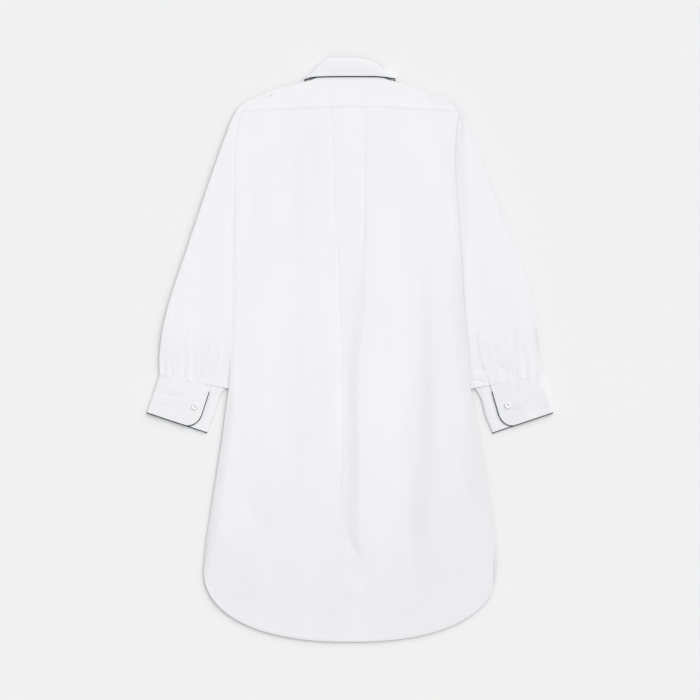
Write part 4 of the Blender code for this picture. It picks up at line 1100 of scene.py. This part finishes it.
def sew(pieces, thread):
    """Every visible row of stitches."""
    threads = []
    xs = np.linspace(-186.0, 188.0, 120)
    yoke = tree_of(pieces["yoke"])
    for up in (0.6, 6.2):
        threads += stitched(yoke, [(x, float(yoke_seam_y(x)) + up) for x in xs])
    back = tree_of(pieces["back"])
    around = np.linspace(0.0, math.pi, 200)
    hem = []
    for a in around:
        x = -(HEM_HALF - 6.0) * math.cos(a)
        hem.append((x, float(hem_y(x * HEM_HALF / (HEM_HALF - 6.0))) + 6.0 * math.sin(a) ** 0.5))
    threads += stitched(back, hem)
    for side in ("left", "right"):
        sign = sign_of(side)
        for inset, ys in ((5.0, np.linspace(-80.0, -400.0, 60)), (7.0, np.linspace(430.0, -50.0, 90))):
            line = [(sign * (abs(float(body_edge(side, y))) - inset), y) for y in ys]
            threads += stitched(back, line)
        cuff = tree_of(pieces[f"cuff_{side}"])
        edge, under = [], []
        for v in np.concatenate([np.linspace(0.03, 0.6, 12), np.linspace(0.62, 0.94, 24)]):
            outer, low, along = cuff_way(side, float(v))
            edge.append(tuple(outer + along * (overlap_end(side, min(v * 1.06, 1.0)) - 4.5)))
            under.append(tuple(low - along * 4.0))
        outer, low, along = cuff_way(side, 0.94)
        edge += [tuple(outer + along * s) for s in np.linspace(66.0, 4.0, 20)]
        outer, low, along = cuff_way(side, 0.035)
        head = [tuple(outer + along * s) for s in np.linspace(4.0, 92.0, 30)]
        for line in (edge, head, under):
            threads += stitched(cuff, line)
        placket = tree_of(pieces[f"placket_{side}"])
        first = len(SLEEVES[side]) - len(PLACKET)
        for name, inset in (("outer", 0.014), ("inner", -0.014)):
            line = []
            for row in np.linspace(0.08, len(PLACKET) - 1.05, 24):
                part = placket_edge(name, row) + inset
                x, y, _ = sleeve_top(side, first + row, part)
                line.append((float(x), float(y)))
            threads += stitched(placket, line)
        line = []
        for t in np.linspace(0.06, 0.94, 8):
            x, y, _ = sleeve_top(side, first + 0.09, lerp(PLACKET[0].outer, PLACKET[0].inner, t))
            line.append((float(x), float(y)))
        threads += stitched(placket, line)
    leaf = tree_of(pieces["leaf"])
    line = [(x, y + 4.2) for x, y, z in pieces["collar_line"] if z > 5.0 and abs(x) < 76.0]
    threads += stitched(leaf, line)
    band = tree_of(pieces["band_outer"])
    for x in (-BAND_HALF + 3.0, BAND_HALF - 3.0):
        threads += stitched(band, [(x, y) for y in np.linspace(440.0, -532.0, 120)], above=False)
    make_tubes("stitches", threads, thread, 4)


def make_buttonholes(thread):
    """Worked buttonholes on the outer band."""
    tubes = []
    spots = [(0.0, FRONT_BUTTON_TOP_Y - i * FRONT_BUTTON_PITCH, 1.78, math.pi / 2, -1.0)
             for i in range(FRONT_BUTTON_COUNT)]
    for x, y, z, turn, up in spots:
        way = np.array((math.cos(turn), math.sin(turn)))
        off = np.array((-way[1], way[0]))
        for t in np.linspace(-8.5, 8.5, 30):
            for side in (-1.0, 1.0):
                a = np.array((x, y)) + way * t + off * side * 0.25
                b = np.array((x, y)) + way * t + off * side * 1.35
                tubes.append(([(*a, z), (*((a + b) / 2), z + up * 0.12), (*b, z)], 0.16))
    make_tubes("buttonholes", tubes, thread, 4)


# Materials
def node_tree(name):
    material = bpy.data.materials.new(name)
    material.use_nodes = True
    tree = material.node_tree
    shader = tree.nodes["Principled BSDF"]
    return material, tree, shader


def add_node(tree, kind, **values):
    node = tree.nodes.new(kind)
    for key, value in values.items():
        if key in node.inputs:
            node.inputs[key].default_value = value
        else:
            setattr(node, key, value)
    return node


def math_node(tree, operation, first, second=None):
    node = tree.nodes.new("ShaderNodeMath")
    node.operation = operation
    for socket, value in zip(node.inputs, (first, second)):
        if value is None:
            continue
        if isinstance(value, (int, float)):
            socket.default_value = value
        else:
            tree.links.new(value, socket)
    return node.outputs[0]


def ramp_node(tree, factor, stops):
    node = tree.nodes.new("ShaderNodeValToRGB")
    while len(node.color_ramp.elements) < len(stops):
        node.color_ramp.elements.new(0.5)
    for element, (at, colour) in zip(node.color_ramp.elements, stops):
        element.position = at
        element.color = (*colour, 1.0)
    tree.links.new(factor, node.inputs[0])
    return node.outputs[0]


def noise_node(tree, where, **values):
    node = add_node(tree, "ShaderNodeTexNoise", **values)
    tree.links.new(where, node.inputs["Vector"])
    return node.outputs[0]


def smooth_range(tree, value, start, end, low, high):
    node = add_node(tree, "ShaderNodeMapRange")
    node.interpolation_type = "SMOOTHSTEP"
    tree.links.new(value, node.inputs[0])
    for socket, limit in zip(node.inputs[1:5], (start, end, low, high)):
        socket.default_value = limit
    return node.outputs[0]


def scaled(colour, by):
    return tuple(c * by for c in colour)


def cloth_material(name, colour, thread_mm, bump, painted_hem_shade=0.0, painted_side_shade=0.0):
    """Plain weave: two sets of threads crossing, thick and thin places, faint mottling, and painted shade
    that darkens the colour towards the hem and towards the lower right.
    """
    material, tree, shader = node_tree(name)
    where = add_node(tree, "ShaderNodeTexCoord").outputs["Object"]
    split = add_node(tree, "ShaderNodeSeparateXYZ")
    tree.links.new(where, split.inputs[0])
    turns = 2 * math.pi / (2 * thread_mm * MM)
    across = math_node(tree, "SINE", math_node(tree, "MULTIPLY", split.outputs[0], turns))
    along = math_node(tree, "SINE", math_node(tree, "MULTIPLY", split.outputs[1], turns))
    weave = math_node(tree, "MULTIPLY", across, along)
    slub = noise_node(tree, where, Scale=260.0, Detail=3.0, Roughness=0.6)
    drawn = add_node(tree, "ShaderNodeMapping")
    drawn.inputs["Scale"].default_value = (16.0, 4.0, 4.0)
    tree.links.new(where, drawn.inputs[0])
    mottle = noise_node(tree, drawn.outputs[0], Scale=1.0, Detail=4.0, Roughness=0.55)
    shade = math_node(tree, "MULTIPLY", weave, 0.18)
    shade = math_node(tree, "ADD", shade, math_node(tree, "MULTIPLY", slub, 0.3))
    shade = math_node(tree, "ADD", shade, math_node(tree, "MULTIPLY", mottle, 0.7))
    # Painted shade: the colour darkens down the back towards the hem, standing in for light falling off.
    if painted_hem_shade:
        low = smooth_range(tree, split.outputs[1], -0.46, 0.02, -painted_hem_shade, 0.0)
        shade = math_node(tree, "ADD", shade, low)
    # Painted shade: the colour darkens in the lower right, standing in for a slope turned away from the key
    # light.
    if painted_side_shade:
        parts = [smooth_range(tree, split.outputs[axis], start, end, 0.0, 1.0)
                 for axis, start, end in ((0, 0.02, 0.11), (1, 0.24, -0.05))]
        both = math_node(tree, "MULTIPLY", *parts)
        shade = math_node(tree, "SUBTRACT", shade, math_node(tree, "MULTIPLY", both, painted_side_shade))
    stops = ((0.0, scaled(colour, 0.93)), (0.35, scaled(colour, 0.975)),
             (0.55, colour), (1.0, scaled(colour, 1.015)))
    tree.links.new(ramp_node(tree, shade, stops), shader.inputs["Base Color"])
    rough = ramp_node(tree, slub, ((0.3, (0.78,) * 3), (0.7, (0.9,) * 3)))
    tree.links.new(rough, shader.inputs["Roughness"])
    shader.inputs["Sheen Weight"].default_value = 0.12
    shader.inputs["Sheen Roughness"].default_value = 0.45
    shader.inputs["Specular IOR Level"].default_value = 0.25
    woven = math_node(tree, "MULTIPLY", weave, 0.5)
    lift = math_node(tree, "ADD", woven, math_node(tree, "MULTIPLY", slub, 0.9))
    bumped = add_node(tree, "ShaderNodeBump", Strength=bump, Distance=0.00012)
    tree.links.new(lift, bumped.inputs["Height"])
    tree.links.new(bumped.outputs[0], shader.inputs["Normal"])
    return material


def shell_material():
    """Shell buttons: pale, with soft clouds of colour and a polished surface."""
    material, tree, shader = node_tree("shell")
    where = add_node(tree, "ShaderNodeTexCoord").outputs["Object"]
    cloud = noise_node(tree, where, Scale=240.0, Detail=3.0, Distortion=1.2)
    stops = ((0.3, scaled(SHELL, 0.94)), (0.5, SHELL), (0.7, (0.80, 0.82, 0.83)))
    tree.links.new(ramp_node(tree, cloud, stops), shader.inputs["Base Color"])
    rough = ramp_node(tree, cloud, ((0.3, (0.16,) * 3), (0.7, (0.26,) * 3)))
    tree.links.new(rough, shader.inputs["Roughness"])
    shader.inputs["Coat Weight"].default_value = 0.35
    shader.inputs["Coat Roughness"].default_value = 0.12
    return material


def floor_material():
    material, tree, shader = node_tree("floor")
    where = add_node(tree, "ShaderNodeTexCoord").outputs["Object"]
    grain = noise_node(tree, where, Scale=3.0, Detail=2.0)
    stops = ((0.3, (0.8, 0.8, 0.8)), (0.7, (0.802, 0.802, 0.802)))
    tree.links.new(ramp_node(tree, grain, stops), shader.inputs["Base Color"])
    shader.inputs["Roughness"].default_value = 0.95
    shader.inputs["Specular IOR Level"].default_value = 0.0
    return material


# Studio
def make_studio():
    scene = bpy.context.scene
    mesh = bpy.data.meshes.new("floor")
    corners = [(x * FLOOR_HALF, y * FLOOR_HALF, FLOOR_Z) for x, y in ((-1, -1), (1, -1), (1, 1), (-1, 1))]
    mesh.from_pydata(corners, [], [(0, 1, 2, 3)])
    floor = new_object("floor", mesh, floor_material())
    world = bpy.data.worlds.new("studio")
    world.use_nodes = True
    tree = world.node_tree
    back = tree.nodes["Background"]
    back.inputs[0].default_value = (1.0, 1.0, 1.0, 1.0)
    sky = add_node(tree, "ShaderNodeSeparateXYZ")
    tree.links.new(add_node(tree, "ShaderNodeTexCoord").outputs["Generated"], sky.inputs[0])
    high = math_node(tree, "MULTIPLY", sky.outputs[2], WORLD_TOP)
    high = math_node(tree, "MAXIMUM", math_node(tree, "ADD", high, WORLD_LOW), WORLD_LOW)
    tree.links.new(high, back.inputs[1])
    scene.world = world
    key = bpy.data.lights.new("key", "SUN")
    key.energy = KEY_ENERGY
    key.angle = math.radians(KEY_ANGLE)
    lamp = bpy.data.objects.new("key", key)
    scene.collection.objects.link(lamp)
    lamp.rotation_euler = Vector(KEY_FROM).to_track_quat("Z", "Y").to_euler()
    camera = bpy.data.cameras.new("camera")
    camera.lens = CAMERA_LENS
    camera.sensor_width = CAMERA_SENSOR
    eye = bpy.data.objects.new("camera", camera)
    scene.collection.objects.link(eye)
    eye.location = (0.0, 0.0, CAMERA_HEIGHT)
    scene.camera = eye
    scene.view_settings.view_transform = "Standard"
    scene.view_settings.look = "None"


def main():
    # Both cotton materials carry painted shade in the lower right; the plain cotton also carries painted
    # shade towards the hem.
    cotton = cloth_material("cotton", COTTON, 0.35, 0.5, painted_hem_shade=0.35, painted_side_shade=0.2)
    crisp = cloth_material("cotton_interlined", CRISP, 0.35, 0.4, painted_side_shade=0.2)
    navy = cloth_material("navy_bias", NAVY, 0.3, 0.6)
    thread = cloth_material("sewing_thread", THREAD, 0.12, 0.4)
    shell = shell_material()
    pieces = {"back": make_back(cotton), "yoke": make_yoke(cotton)}
    for side in ("left", "right"):
        pieces[f"front_{side}"] = make_front(side, cotton)
        pieces[f"sleeve_{side}"] = make_sleeve(side, cotton)
        pieces[f"placket_{side}"] = make_placket(side, cotton)
        pieces[f"cuff_{side}"] = make_cuff(side, crisp)
        make_cord(f"cuff_cord_{side}", cuff_cord_path(side), navy, f"cuff_piping_{side}")
    pieces["band_outer"] = make_band("band_outer", OUTER_BAND_LEVEL, cotton, ("front_band_right",))
    pieces["band_inner"] = make_band("band_inner", INNER_BAND_LEVEL, cotton, ("front_band_left",))
    pieces["collar_line"] = make_collar(crisp)
    pieces["leaf"] = bpy.data.objects["collar_leaf_cloth"]
    make_cord("collar_cord", pieces["collar_line"], navy, "collar_piping")
    make_buttons(shell, thread)
    sew(pieces, thread)
    make_buttonholes(thread)
    make_studio()


main()
